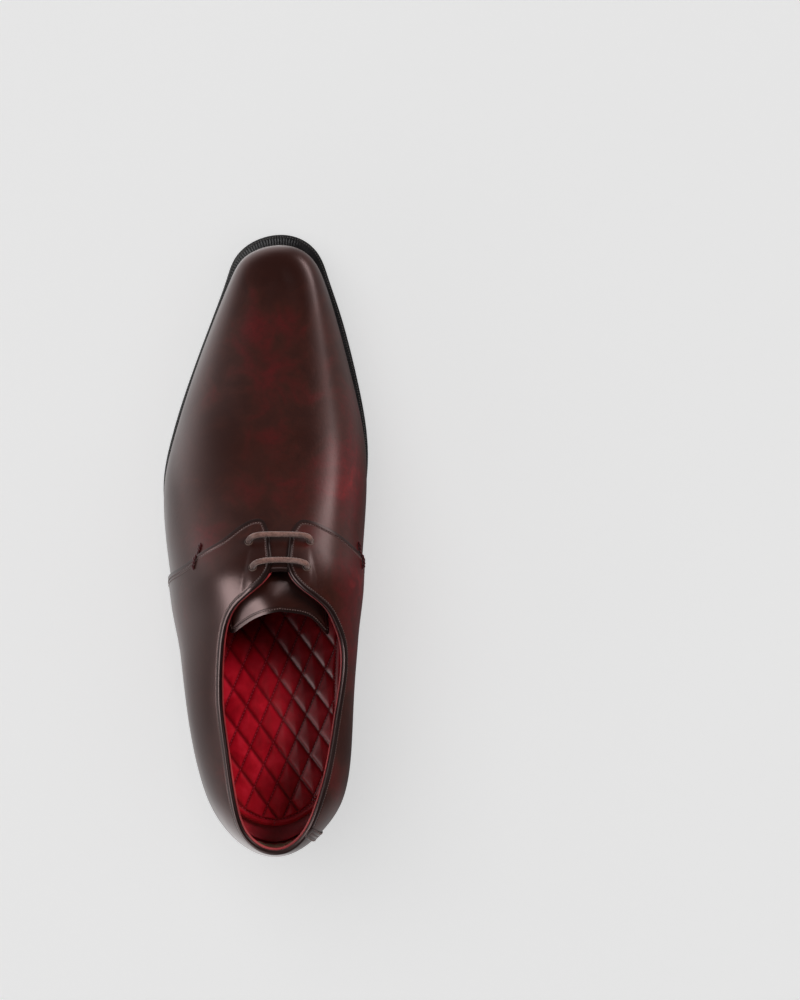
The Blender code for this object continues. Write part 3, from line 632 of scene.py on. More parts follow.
def quilt_leather():
    n = material("quilted_leather")
    tone = n.noise(70, 4, 0.6, 0.4)
    color = n.ramp(tone, [(0.3, (0.22, 0.002, 0.007)), (0.55, (0.38, 0.005, 0.014)),
                          (0.75, (0.50, 0.015, 0.032))])
    # Painted shade: the colour turns nearly black in the quilting creases and along the border seam, where
    # shade falls.
    deep = n.span(n.attribute("crease_and_shade"), 0.0, 1.0, 0.0, 0.75)
    color = n.mix(deep, color, (0.07, 0.001, 0.003))
    normal = n.bump(n.noise(300, 3, 0.6, 0.3), 0.12, 0.3)
    n.bump(n.cells(1000), 0.03, 0.25, normal)
    return n.finish(color, n.span(tone, 0.3, 0.7, 0.36, 0.48), specular_ior_level=0.25)


def sole_leather(name, color=(0.016, 0.015, 0.016), roughness=0.42):
    n = material(name)
    tone = n.noise(120, 5, 0.65)
    light = tuple(c * 1.9 for c in color)
    mixed = n.mix(n.span(tone, 0.35, 0.75), color, light)
    normal = n.bump(n.noise(500, 4, 0.6, place=n.stretched((1, 1, 0.3))), 0.08, 0.35)
    n.bump(n.noise(90, 3), 0.2, 0.2, normal)
    return n.finish(mixed, n.span(tone, 0.3, 0.7, roughness - 0.06, roughness + 0.1), specular_ior_level=0.5)


def plain_stuff(name, color, roughness, grain=300.0, depth=0.15, metallic=0.0):
    """Cork, foam, board, rubber and metal: a grained surface of one hue."""
    n = material(name)
    tone = n.noise(grain, 4, 0.65)
    mixed = n.mix(n.span(tone, 0.3, 0.7), tuple(c * 0.6 for c in color), color)
    n.bump(n.noise(grain * 1.7, 3), depth, 0.5)
    return n.finish(mixed, roughness, metallic=metallic)


def thread_stuff(name, color, roughness=0.55):
    n = material(name)
    wave = n.texture("ShaderNodeTexWave", n.stretched((1, 1, 1), (0.4, 0.3, 0.6)), Scale=900)
    mixed = n.mix(n.noise(800, 2), tuple(c * 0.5 for c in color), color)
    n.bump(wave["Fac"], 0.06, 0.6)
    return n.finish(mixed, roughness)


def lace_stuff():
    """A round waxed cotton lace: braid ribs cross its two directions."""
    n = material("waxed_lace")
    tone = n.noise(500, 3, 0.6)
    fibre = n.noise(2600, 2, 0.6)
    pale, deep = (0.24, 0.125, 0.10), (0.10, 0.045, 0.036)
    worn = n.math("ADD", n.math("MULTIPLY", tone, 0.5), n.math("MULTIPLY", fibre, 0.5))
    color = n.mix(n.span(worn, 0.35, 0.65), deep, pale)
    n.bump(fibre, 0.05, 0.5)
    return n.finish(color, 0.62, specular_ior_level=0.35, sheen_weight=0.3)


def floor_stuff():
    n = material("pale_floor")
    color = n.mix(n.noise(6, 2), (0.80, 0.80, 0.80), (0.82, 0.82, 0.82))
    return n.finish(color, 0.8, emission_color=(1, 1, 1, 1), emission_strength=0.5)


def make_looks():
    return {
        "upper": patina_leather("burgundy_patina"),
        "strip": patina_leather("burgundy_patina_strip", 0.7),
        "tongue": patina_leather("burgundy_patina_tongue", 1.3),
        "lining": lining_leather("red_lining", (0.42, 0.045, 0.05)),
        "counter": lining_leather("red_counter_lining", (0.5, 0.03, 0.045), 0.38),
        "sock": quilt_leather(),
        "sole": sole_leather("black_sole_leather"),
        "welt": sole_leather("black_welt_leather", (0.008, 0.0076, 0.008), 0.45),
        "board": plain_stuff("insole_board", (0.45, 0.27, 0.14), 0.7),
        "cork": plain_stuff("cork_filler", (0.42, 0.26, 0.13), 0.9, 260, 0.4),
        "rubber": plain_stuff("black_rubber", (0.02, 0.02, 0.02), 0.75, 500, 0.08),
        "steel": plain_stuff("shank_steel", (0.5, 0.5, 0.5), 0.35, 900, 0.03, 1.0),
        "brass": plain_stuff("eyelet_brass", (0.6, 0.42, 0.18), 0.35, 900, 0.03, 1.0),
        "stiffener": plain_stuff("stiffener_board", (0.5, 0.42, 0.3), 0.85),
        "foam": plain_stuff("sock_foam", (0.75, 0.72, 0.65), 0.95, 700, 0.3),
        "lace": lace_stuff(),
        "bead": patina_leather("collar_bead_leather", 0.5),
        "lining_edge": lining_leather("red_lining_edge", (0.40, 0.042, 0.045), 0.5),
        # The hole rims are lighter than the upper: a painted highlight round each punched hole.
        "rim": lining_leather("punched_rim_highlight", (0.16, 0.10, 0.08), 0.5),
        "thread": thread_stuff("dark_red_thread", (0.17, 0.095, 0.085)),
        "tack": thread_stuff("bar_tack_thread", (0.075, 0.012, 0.014)),
        "welt_thread": thread_stuff("welt_thread", (0.10, 0.09, 0.085)),
        "sock_thread": thread_stuff("sock_thread", (0.38, 0.03, 0.05)),
        "aglet": plain_stuff("aglet_plastic", (0.1, 0.05, 0.04), 0.4, 700, 0.03),
    }


# ---------------------------------------------------------------- upper

def mark_leather(obj, lines):
    """Keeps each point's distance from the cut edges in millimetres, and how red the patina is there."""
    places = np.array([v.co for v in obj.data.vertices]) / MM
    tree = tree_of(np.concatenate(lines))
    keep_values(obj, "edge_mm", [tree.find(place)[2] for place in places])
    red = np.zeros(len(places))
    for x, y, wide, long, strength in RED_PATCHES:
        red += strength * np.exp(-((places[:, 0] - x) / wide) ** 2 - ((places[:, 1] - y) / long) ** 2)
    keep_values(obj, "red", red)


def make_vamp(looks):
    def tab(v):
        return ease((v - 0.915) / 0.03)

    def back(side, v):
        under = SEAM[side](np.minimum(v, 0.9)) + GAP - (OVERLAP + GAP) * ease((v - V_TURN) / 0.05)
        return station(under * (1 - tab(v)) + TAB_Y * tab(v))
    v = np.concatenate([np.linspace(LOW, 0, 8)[:-1], np.linspace(0, 0.2, 26)[:-1], np.linspace(0.2, 1, 110)])
    s = np.linspace(-1, 1, 401)
    s = np.sign(s) * (abs(s) * 0.75 + abs(s) ** 1.6 * 0.25)
    reach = np.where(s[:, None] < 0, back(-1, v)[None], back(1, v)[None])
    psi = s[:, None] * reach
    points = last(psi, np.broadcast_to(v, psi.shape))
    obj = leather_sheet("vamp_skin", points, looks["upper"], OUTER, replaces=("vamp",))
    height = np.linspace(0.9, 1, 40)
    mark_leather(obj, [last(-station(TAB_Y), height), last(station(TAB_Y), height)])


def quarter_sides(side):
    """The four (psi, v) sides of a quarter's patch, as coons takes them."""
    split = SPLIT_V[side]
    rear = BACK_SEAM if side > 0 else 2 * np.pi - BACK_SEAM
    rear -= 0.004
    edge = free_edge(side, rear)
    front = seam_line(side, LOW, split)
    first = np.argmax(edge[:, 1] >= split)
    top = np.concatenate([front[-1:], edge[first:]])
    v = np.linspace(LOW, float(TOP_LINE(side * rear)), 200)
    back = np.stack([np.full_like(v, side * rear), v], -1)
    psi = np.linspace(front[0, 0], back[0, 0], 200)
    bottom = np.stack([psi, np.full_like(psi, LOW)], -1)
    return front, back, bottom, top


def free_edge(side, rear):
    """A quarter's edge: up the seam, round the tip, along the facing and the collar."""
    seam = seam_line(side, 0.0, TIP_V[side])
    top = top_line(side, rear)
    seam = seam[seam[:, 1] < TOP_LINE(seam[:, 0])]
    meet = np.argmin(abs(y_of(top[:, 0]) - y_of(seam[-1, 0])))
    line = spread(np.concatenate([seam, top[meet + 1:]]), 900)
    for _ in range(12):
        line[1:-1] = (line[:-2] + line[1:-1] * 2 + line[2:]) / 4
    return line


def make_quarter(side, looks):
    front, back, bottom, top = quarter_sides(side)
    along, up = (300 if side > 0 else 340), 120
    patch = coons(spread(front, up, 0.5), spread(back, up, 0.5),
                  spread(bottom, along, 0.3), spread(top, along, 0.3))
    name = f"quarter_{SIDES[side]}"
    obj = leather_sheet(f"{name}_skin", on_last(patch, lift_of(side, patch)), looks["upper"], OUTER,
                        replaces=(name,))
    edge = free_edge(side, abs(back[0, 0]))
    mark_leather(obj, [on_last(edge, lift_of(side, edge))])
    punch_holes(obj, side)
    sew_quarter(side, edge, looks)


def hole_frame(side, y, v):
    psi = station(y, side)
    centre = last(psi, v, 0.0)
    return centre, last(psi, v, 1.0) - centre


def punch_holes(obj, side):
    for k, (y, v) in enumerate(HOLES[side]):
        centre, axis = hole_frame(side, y, v)
        points = centre + axis * np.linspace(-4, 6, 5)[:, None]
        cutter = strand(f"punch_{SIDES[side]}_{k}", points, HOLE, obj.data.materials[0], 24, (1, 0, 0),
                        body=None)
        cutter.hide_render = True
        cut = obj.modifiers.new("lace_hole", "BOOLEAN")
        cut.operation, cut.solver, cut.object = "DIFFERENCE", "EXACT", cutter
    bpy.context.view_layer.update()
    graph = bpy.context.evaluated_depsgraph_get()
    mesh = bpy.data.meshes.new_from_object(obj.evaluated_get(graph))
    cutters = [m.object for m in obj.modifiers if m.type == "BOOLEAN"]
    obj.modifiers.clear()
    obj.data = mesh
    for cutter in cutters:
        bpy.data.objects.remove(cutter)


def sew_quarter(side, edge, looks):
    """Stitch rows: one along the whole free edge, and a second below the bar tack."""
    for k, inset in enumerate(SEW_INSETS):
        row = inset_line(edge, inset, side)
        kept = row[:, 1] > 0.03
        if k:
            kept = kept & (row[:, 1] < TACK_V[side]) & (abs(row[:, 0]) < station(-30))
        row = row[kept]
        stitches_on_last(f"quarter_{SIDES[side]}_stitches_{k + 1}", row, lift_of(side, row) + 0.1,
                         looks["thread"])


def make_collar(looks):
    """The rolled dark edge of the collar and the facings, and the red lining edge that shows inside it."""
    tip = float(station(3.5))
    psi = np.linspace(tip, 2 * np.pi - tip, 1400)
    line = np.stack([psi, TOP_LINE(psi)], -1)
    medial, y = psi < np.pi, y_of(psi)
    lift = np.where(medial, lift_of(1, line), lift_of(-1, line))
    bead = [(1.9, -0.05, 1), (1.8, 0.2, 1), (1.4, 0.32, 1), (0.9, 0.36, 1), (0.4, 0.3, 1), (0.0, 0.05, 1),
            (-0.2, -0.5, 0.85), (-0.25, -1.2, 0.5), (-0.1, -1.9, 0.1), (0.3, -2.15, 0)]
    edge = [(0.8, -2.1), (0.1, -2.05), (-0.25, -2.2), (-0.35, -2.5), (-0.25, -2.9), (0.05, -3.12),
            (0.8, -3.16), (2.2, -3.16)]
    recess = np.where(medial, 1.2 * ease((y + 13) / 4), -0.55 * ease((y + 20) / 6) * (1 - ease((y - 1) / 2)))
    ribbon("collar_bead", line, bead, looks["bead"], lift, 0 * y)
    ribbon("collar_lining_edge", line, [(*place, 0) for place in edge], looks["lining_edge"], lift, recess)


def make_lining(name, start, end, look):
    """A lining panel between two stations, up to the top line."""
    psi = np.linspace(start, end, int(abs(end - start) * 110))
    v = LOW + (TOP_LINE(psi)[:, None] - LOW) * np.linspace(0, 1, 90)[None]
    points = last(psi[:, None] + 0 * v, v, -LINING_IN)
    return leather_sheet(f"{name}_skin", points, look, LINING, edge=0.25, replaces=(name,))


def make_linings(looks):
    butt, join = float(station(16.0)) + 0.006, float(station(-112.0))
    make_lining("quarter_lining_lateral", -join + 0.004, -butt, looks["lining"])
    make_lining("quarter_lining_medial", butt, join - 0.004, looks["lining"])
    make_lining("counter_lining", join + 0.004, 2 * np.pi - join - 0.004, looks["counter"])


def make_back_strip(looks):
    half, count, stand = 0.042, 60, 0.75
    u = np.linspace(-1, 1, 31)[:, None]
    t = np.linspace(0, 1, count)[None]
    top = TOP_LINE(BACK_SEAM) - 0.004
    psi = BACK_SEAM + half * u * (0.8 + 0.2 * t)
    v = 0.1 + (top - 0.1 + 0.012 * (1 - u ** 2)) * t
    points = last(psi, v, stand)
    obj = leather_sheet("back_strip_skin", points, looks["strip"], 0.6, edge=0.2,
                        replaces=("back_strip",))
    mark_leather(obj, [points[0], points[-1], points[:, -1]])
    for k, place in enumerate((3, -4)):
        row = np.stack([psi[place] + 0 * v[place], v[place]], -1)
        stitches_on_last(f"back_strip_stitches_{k + 1}", row[2:-3], stand + 0.1, looks["thread"])


def make_tongue(looks):
    """The tongue's skin and its lining, crowned between the facings, with rounded rear corners."""
    back = {-1: smooth([(0.55, -51.5), (0.72, -47.7), (0.85, -42.2), (0.93, -40.2), (1, -39.7)]),
            1: smooth([(0.55, -49.5), (0.68, -46.4), (0.76, -43.4), (0.85, -40.2), (0.93, -39.5),
                       (1, -39.7)])}
    low = {-1: smooth([(-56, 0.69), (-30, 0.7), (-12, 0.76), (8, 0.86)]),
           1: smooth([(-56, 0.62), (-30, 0.66), (-12, 0.76), (8, 0.86)])}
    across, along, corner = 141, 110, 3.5
    g = np.linspace(-1, 1, across)
    side = np.where(g < 0, -1, 1)
    rounding = corner * (1 - np.sqrt(1 - (np.clip(abs(g) - 0.86, 0, 0.14) / 0.14) ** 2))

    def panel(front_y, shorter, narrower, inner):
        t = np.linspace(0, 1, along)[:, None]
        v = np.broadcast_to(1 - abs(g) * 0.3, (along, across)).copy()
        for _ in range(12):
            rear = np.where(side < 0, back[-1](v), back[1](v)) + shorter + rounding
            a = station(front_y) * (1 - t) + station(rear) * t
            edge = np.where(side < 0, low[-1](y_of(a)), low[1](y_of(a))) + narrower
            v = 1 - abs(g) * (1 - edge)
        points = last(a * side, v, -inner)
        crown = np.exp(-((points[..., 0] - 3) / 11) ** 2) * ease((-18 - points[..., 1]) / 14)
        points[..., 2] += TONGUE_CROWN * crown
        return points

    points = panel(8.0, 0, 0, TONGUE_IN)
    obj = leather_sheet("tongue_skin", points, looks["tongue"], TONGUE, edge=0.5, body="tongue",
                        replaces=("tongue",))
    mark_leather(obj, [points[-1], points[:, 0], points[:, -1]])
    leather_sheet("tongue_lining_skin", panel(6.0, 1.0, 0.01, TONGUE_IN + TONGUE + GAP), looks["lining"],
                  TONGUE_LINING, edge=0.25, body="tongue", replaces=("tongue_lining",))
    inset, narrower = 1.9, 0.012
    row = panel(8.0, inset, narrower, TONGUE_IN - 0.12)[-1]
    lift = panel(8.0, inset, narrower, TONGUE_IN - 1.12)[-1] - row
    stitch_row("tongue_stitches", row, lift, looks["thread"], body="tongue")


# ---------------------------------------------------------------- bottoms

def between(left, right, t):
    """Points at the shares t of the way across from one line to another."""
    return left[:, None] * (1 - t[None, :, None]) + right[:, None] * t[None, :, None]


def over_ground(spots, height):
    """Flat spots raised to a height over the ground line of the sole."""
    return np.column_stack([spots, GROUND(spots[:, 1]) + height])


def even_stations(first, final, inset, spacing):
    """Stations that stand evenly spaced along an outline."""
    psi = np.linspace(first, final, 4000)
    run = length_along(plan(psi, inset(psi)))
    return np.interp(np.linspace(0, run[-1], int(run[-1] / spacing)), run, psi), run[-1]


def make_welt(name, first, final, looks):
    """A storm welt: a strip ribbed across its top, with one stitch row between the ribs and the edge."""
    psi, total = even_stations(first, final, SOLE_EDGE, 0.25)
    edge, inner = plan(psi, SOLE_EDGE(psi)), plan(psi, UNDERCUT(psi) + MARGIN - 1)
    inward = inner - edge
    width = np.linalg.norm(inward, axis=1, keepdims=True)
    inward /= width
    run = np.linspace(0, total, len(psi))
    base = SOLE + GAP
    rib = 0.5 * (1 - np.cos(run / RIB_PITCH * 2 * np.pi)) ** 0.8
    profile = [(99, 0, 0), (6, 0, 0), (0.8, 0, 0), (0.25, 0.15, 0), (0.0, 0.7, 0), (0.0, WELT - 0.9, 0.0),
               (0.1, WELT - 0.45, 0.3), (0.4, WELT - 0.2, 0.5), (0.8, WELT - 0.3, 0), (1.4, WELT - 0.35, 0),
               (1.8, WELT - 0.1, 0.5), (2.3, WELT, 1), (3.2, WELT + 0.05, 1), (4.4, WELT + 0.05, 1),
               (6.0, WELT, 0.7), (99, WELT, 0)]
    points = np.stack([over_ground(edge + inward * np.minimum(aside, width),
                                   base + height - RIB_DEPTH * ribbed * (1 - rib))
                       for aside, height, ribbed in profile], 1)
    count = len(profile)
    faces = [*grid_faces(len(psi), count, closed=True), *(cap[::-1] for cap in end_caps(len(psi), count))]
    obj = make_object(f"{name}_ribbed", points.reshape(-1, 3), faces, looks["welt"])
    weld(obj)
    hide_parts(name)
    row = over_ground(edge + inward * WELT_ROW, base + WELT - 0.2)
    stitches_facing_up(f"{name}_stitches", row, looks["welt_thread"], length=0.95, radius=0.3, sink=0.1)


def make_outsole(looks):
    """The sole as closed loops from the middle of its underside, round its edge, to the middle of its top."""
    psi, _ = even_stations(0.0, 2 * np.pi, SOLE_EDGE, 1.2)
    psi = psi[:-1]
    rings = [(0.0, 0, 0), (0.3, 0, 0), (0.6, 0, 0), (0.85, 0, 0), (1, 5.2, 0), (1, 4.9, 0.05), (1, 4.6, 0.35),
             (1, 4.3, 0.05), (1, 4.0, 0), (1, 1.2, 0), (1, 0.5, 0.15), (1, 0.1, 0.55), (1, 0, 1.1),
             (1, 0, 2.6), (1, 0.0, 4.0), (1, 0.2, 4.6), (1, 0.7, 4.9), (1, 1.4, SOLE), (0.6, 0, SOLE),
             (0.0, 0, SOLE)]
    rows = []
    for share, inset, height in rings:
        spot = plan(psi, SOLE_EDGE(psi) + inset)
        mirrored = plan(-psi, SOLE_EDGE(-psi) + inset)
        middle = (spot + mirrored) / 2
        rows.append(over_ground(middle + (spot - middle) * share, height))
    obj = make_object("outsole_shaped", np.concatenate(rows), grid_faces(len(rings), len(psi), closed=True),
                      looks["sole"])
    weld(obj)
    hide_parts("outsole")


def heel_plate(name, inset, first, final, low, high, look, breast=0.0, replaces=()):
    psi = np.linspace(first, final, 110)
    left, right = plan(-psi, inset(psi, -1)), plan(psi, inset(psi, 1))
    t = np.linspace(0, 1, 25)
    flat = between(left, right, t)
    if breast:
        near = ease(1 - (psi - first) / 0.12)[:, None]
        flat[..., 1] -= breast * near * np.sin(np.pi * t)[None]
    y = flat[..., 1]
    return plate(name, np.dstack([flat, low(y)]), np.dstack([flat, high(y)]), look, 0.3, replaces=replaces)


def make_heel(looks):
    breast, back, tread = float(station(BREAST_Y)), np.pi - 0.06, TOP_PIECE + GAP

    def tapered(layer):
        return lambda psi, side: SOLE_EDGE(side * psi) + EDGE_TAPER * layer

    def level(layer, off):
        """The height of a lift's face: part of the way from the top piece to the sole."""
        return lambda y: tread + (GROUND(y) - GAP - tread) * (1 - layer / LIFTS) + off
    for k in range(LIFTS):
        name = f"heel_lift_{k + 1}"
        heel_plate(f"{name}_shaped", tapered(k + 1), breast, back, level(k + 1, 0.05), level(k, -0.05),
                   looks["sole"], 4.0, (name,))
    split = float(station(-108.0))
    inset, flat, top = tapered(LIFTS + 1), (lambda y: 0 * y), (lambda y: 0 * y + TOP_PIECE)
    heel_plate("heel_top_leather_shaped", inset, breast, split - 0.002, flat, top, looks["sole"], 4.0,
               ("heel_top_leather",))
    heel_plate("heel_top_rubber_shaped", inset, split + 0.002, back, flat, top, looks["rubber"], 0.0,
               ("heel_top_rubber",))
    make_heel_pins(looks)


def make_heel_pins(looks):
    """Brass pins that hold the top piece, set just below its tread."""
    one_side = np.linspace(2.45, 2.98, HEEL_PINS)
    psi = np.concatenate([one_side, -one_side])
    spots = plan(psi, SOLE_EDGE(psi) + EDGE_TAPER * (LIFTS + 1) + PIN_INSET)
    for k, (x, y) in enumerate(spots):
        points = np.array([[x, y, 0.02], [x, y, 0.05], [x, y, 1.0]])
        strand(f"heel_pin_{k + 1}", points, PIN_RADIUS, looks["brass"], 16, (1, 0, 0))


# ---------------------------------------------------------------- inside

def sock_base(y):
    return GROUND(y) + SOCK_AT + FOAM * (1 - ease((y + 30) / 40)) + GAP


def make_sock(looks):
    """The padded sock, quilted in diamonds by two slanting sets of lines inside a stitched border."""
    psi = np.linspace(0.2, np.pi - 0.02, 420)
    left, right = (sock_side(s, psi, FOAM + SOCK + GAP, 1.0) for s in (-1, 1))
    t = (1 - np.cos(np.linspace(0, np.pi, 141))) / 2 * 0.35 + np.linspace(0, 1, 141) * 0.65
    flat = between(left, right, t)
    x, y = flat[..., 0], flat[..., 1]
    tree = tree_of(np.concatenate([left[::-1], right]))
    inner = np.array([tree.find((a, b, 0))[2] for a, b in flat.reshape(-1, 2)]).reshape(x.shape)
    back_end = (left[-1] + right[-1]) / 2
    inner = np.minimum(inner, np.maximum(y - back_end[1], 0) + 0.3)
    near = {k: line_distance(x, y, *QUILT[k]) for k in QUILT}
    inside = ease((inner - BORDER) / 1.2)
    crease_and_shade = {k: np.exp(-(near[k] / CREASE[k]) ** 2) for k in QUILT}
    puff = np.minimum(*(np.sin(np.clip(near[k] / QUILT[k][1], 0, 0.5) * np.pi) ** 0.55 for k in QUILT))
    border = np.exp(-((inner - BORDER) / 0.7) ** 2)
    lift = 1.0 + QUILT_PUFF * puff * inside + 0.5 * (1 - inside) * (1 - border) - 0.15 * border
    lift -= inside * (0.35 * crease_and_shade["creased"] + 0.15 * crease_and_shade["stitched"])
    lift -= 1.25 * (1 - np.sqrt(np.clip(inner / 1.4, 0, 1)))
    base = sock_base(y)
    top = np.maximum(base + lift, base)
    obj = plate("quilted_sock_padded", np.dstack([flat, base - 0.1]), np.dstack([flat, top]), looks["sock"],
                0, replaces=("quilted_sock",))
    # The creases and the border seam are kept for the material, which darkens them as painted shade.
    lines = inside * np.maximum(crease_and_shade["creased"], crease_and_shade["stitched"])
    mark_crease_shade(obj, np.maximum(lines, border * 0.7), x, y)
    sew_sock(np.dstack([flat, top]).reshape(-1, 3), inner, looks)


def sock_side(side, psi, height, room):
    """One side of the sock's outline, which stops short of the wall at the heel."""
    line = plan(side * psi, wall_inset(side * psi, SOCK_AT + height) + room)
    behind = np.minimum(line[:, 1] - SOCK_BACK, 0)
    line[:, 1] += behind * (SOCK_SQUEEZE - 1)
    return line


def border_walk(inner):
    """The grid places nearest the border's seam, walked round from one toe corner to the other."""
    rows, cols = inner.shape
    step = np.arange(4, rows - 16)
    left = [i * cols + int(np.argmin(abs(inner[i, :cols // 2] - BORDER))) for i in step]
    right = [i * cols + cols // 2 + int(np.argmin(abs(inner[i, cols // 2:] - BORDER))) for i in step]
    across = [int(np.argmin(abs(inner[:, j][rows // 2:] - BORDER)) + rows // 2) * cols + j
              for j in range(left[-1] % cols + 2, right[-1] % cols - 1)]
    return left + across + right[::-1]


def make_foam(looks):
    """The wedge of foam under the heel half of the sock."""
    psi = np.linspace(float(station(-10)), np.pi - 0.2, 60)
    flat = between(*(sock_side(s, psi, FOAM, 4.0) for s in (-1, 1)), np.linspace(0, 1, 21))
    y = flat[..., 1]
    low = GROUND(y) + SOCK_AT
    high = np.maximum(sock_base(y) - GAP, low + 0.4)
    plate("sock_foam_shaped", np.dstack([flat, low]), np.dstack([flat, high]), looks["foam"], 0.1,
          replaces=("sock_foam",))


def line_distance(x, y, slope, spacing, offset):
    """How far a place is from the nearest of a set of parallel lines; slope is in degrees from the x axis."""
    a = np.radians(slope)
    across = -x * np.sin(a) + y * np.cos(a) + offset
    return abs((across + spacing / 2) % spacing - spacing / 2)


# Keeps, at each point, how much painted shade the sock's colour gets in its creases and along its border.
def mark_crease_shade(obj, value, x, y):
    places = np.array([v.co[:2] for v in obj.data.vertices]) / MM
    tree = tree_of(np.column_stack([x.ravel(), y.ravel()]))
    flat = value.ravel()
    keep_values(obj, "crease_and_shade", [flat[tree.find((*spot, 0))[1]] for spot in places])


def sew_sock(spots, inner, looks):
    """Thread in one set of the slanting lines, and round the border."""
    tree = tree_of(spots[:, :2])
    depth = inner.ravel()
    slope, spacing, offset = QUILT["stitched"]
    a = np.radians(slope)
    rows = []
    for k in range(-16, 8):
        run = np.arange(-160, 160, 0.5)
        cross = k * spacing - offset
        places = np.stack([-np.sin(a) * cross + np.cos(a) * run, np.cos(a) * cross + np.sin(a) * run], -1)
        found = [tree.find((*p, 0)) for p in places]
        good = np.array([f[2] < 1.2 and depth[f[1]] > BORDER for f in found])
        if good.sum() > 12:
            height = np.array([spots[f[1]][2] for f in found])[good]
            rows.append(np.concatenate([places[good], height[:, None]], 1))
    rows.append(spots[border_walk(inner)])
    for k, row in enumerate(rows):
        row[1:-1, 2] = (row[:-2, 2] + row[1:-1, 2] + row[2:, 2]) / 3
        stitches_facing_up(f"quilt_stitches_{k + 1}", row, looks["sock_thread"],
                           pitch=1.7, length=1.15, radius=0.2, sink=-0.05)


def make_heel_seat(looks):
    """The smooth red leather that shows behind the sock, laid over the insole."""
    psi = np.linspace(float(station(-95)), np.pi - 0.02, 90)
    sides = [plan(s * psi, wall_inset(s * psi, SOCK_AT) - 0.4) for s in (-1, 1)]
    t = np.linspace(0, 1, 41)
    flat = between(*sides, t)
    y = flat[..., 1]
    low = GROUND(y) + SOCK_AT - 0.1
    rise = 1.2 * (2 * abs(t - 0.5)) ** 4 + 1.5 * ease((-y - 138) / 8)
    plate("heel_seat", np.dstack([flat, low]), np.dstack([flat, low + 0.6 + rise]), looks["counter"], 0.2)


# ---------------------------------------------------------------- lace and tacks

def rounded(points, spacing):
    """Evenly spaced points along a smooth line through a few."""
    points = np.array(points, float)
    chord = length_along(points)
    places = np.linspace(0, chord[-1], int(chord[-1] / spacing))
    return np.stack([smooth(list(zip(chord, points[:, k])))(places) for k in range(3)], -1)


def lace_route():
    inside, over = INSIDE + GAP + LACE, LIFT + GAP + LACE
    ends = {side: [hole_frame(side, y, v) for y, v in HOLES[side]] for side in SIDES}

    def rest(y):
        return float(GROUND(y)) + SOCK_AT + SOCK + 1.0 + LACE

    def through(side, k, outward):
        centre, axis = ends[side][k]
        depths = (-inside + 0.4, -2.0, 1.8) if outward else (1.8, -2.0, -inside + 0.4)
        return [centre + axis * d for d in depths]

    def bar(k, start):
        a, b = ends[start][k], ends[-start][k]
        crown = (a[0] + b[0]) / 2 + np.array([2.0, 4.0, 0.0])
        crown[2] = RIDGE_Z(crown[1]) + over + 1.2
        first, final = (end[0] + end[1] * (over + 0.8) + (crown - end[0]) * 0.06 for end in (a, b))
        return [first, crown, final]

    under_vamp = [last(station(2.0, 1), 0.86, -inside - 0.4), last(station(26.0, 1), 0.84, -inside - 3.0)]
    first_end = under_vamp + [(28.0, 46.0, rest(46) + 9), (26.0, 66.0, rest(66)), (24.0, 84.0, rest(84)),
                              (18.0, 94.0, rest(94)), (12.0, 84.0, rest(84)), (12.0, 62.0, rest(62)),
                              (12.0, 36.0, rest(36))]
    second_end = [last(station(y, 1), 0.78, -inside - 0.6) for y in (6.0, 24.0)]
    second_end += [(35.5, 44.0, rest(44) + 9), (34.0, 60.0, rest(60)), (31.5, 76.0, rest(76)),
                   (27.0, 92.0, rest(92)), (17.0, 104.0, rest(104)), (4.0, 104.0, rest(104)),
                   (-6.0, 96.0, rest(96)), (-9.0, 76.0, rest(76))]
    link = last(station((HOLES[-1][0][0] + HOLES[-1][1][0]) / 2, -1), 0.862, -inside - 0.3)
    path = first_end[::-1] + through(1, 0, True) + bar(0, 1) + through(-1, 0, False) + [link]
    path += through(-1, 1, True) + bar(1, -1) + through(1, 1, False)
    return path + [last(station(-6.0, 1), 0.80, -inside - 0.4)] + second_end


def make_lace(looks):
    """A round braided lace."""
    line = rounded(lace_route(), 0.35)
    along, aside = carried_frames(line)
    turn = np.arange(LACE_SIDES) * 2 * np.pi / LACE_SIDES
    run = length_along(line)[:, None]
    braid = abs(np.sin(4 * turn[None] + run * 2.2)) ** 0.7 * abs(np.sin(4 * turn[None] - run * 2.2)) ** 0.7
    obj = tube("lace_braided", line, aside, np.cross(along, aside), LACE - 0.07 + 0.12 * braid, looks["lace"])
    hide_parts("lace")


def make_eyelet_rims(looks):
    """The rolled rim of leather round each punched hole, coloured lighter than the upper as a painted
    highlight.
    """
    for side, name in SIDES.items():
        for k, (y, v) in enumerate(HOLES[side]):
            centre, axis = hole_frame(side, y, v)
            psi = station(y, side)
            centre = centre + axis * (float(quarter_lift(side, psi, v)) + 0.02)
            axis = Vector(axis).normalized()
            across = np.array(axis.orthogonal().normalized())
            other = np.cross(np.array(axis), across)
            around = np.arange(40) * 2 * np.pi / 40
            tube = np.arange(8) * 2 * np.pi / 8
            reach = HOLE + 0.05 + 0.22 * np.cos(tube)[None]
            shape = centre + (np.cos(around)[:, None] * reach)[..., None] * across
            shape = shape + (np.sin(around)[:, None] * reach)[..., None] * other
            shape = shape + (0.2 * np.sin(tube))[None, :, None] * np.array(axis)
            shape = np.concatenate([shape, shape[:1]])
            obj = make_object(f"hole_rim_{name}_{k + 1}", shape.reshape(-1, 3),
                              grid_faces(41, 8, closed=True), looks["rim"])
            weld(obj)


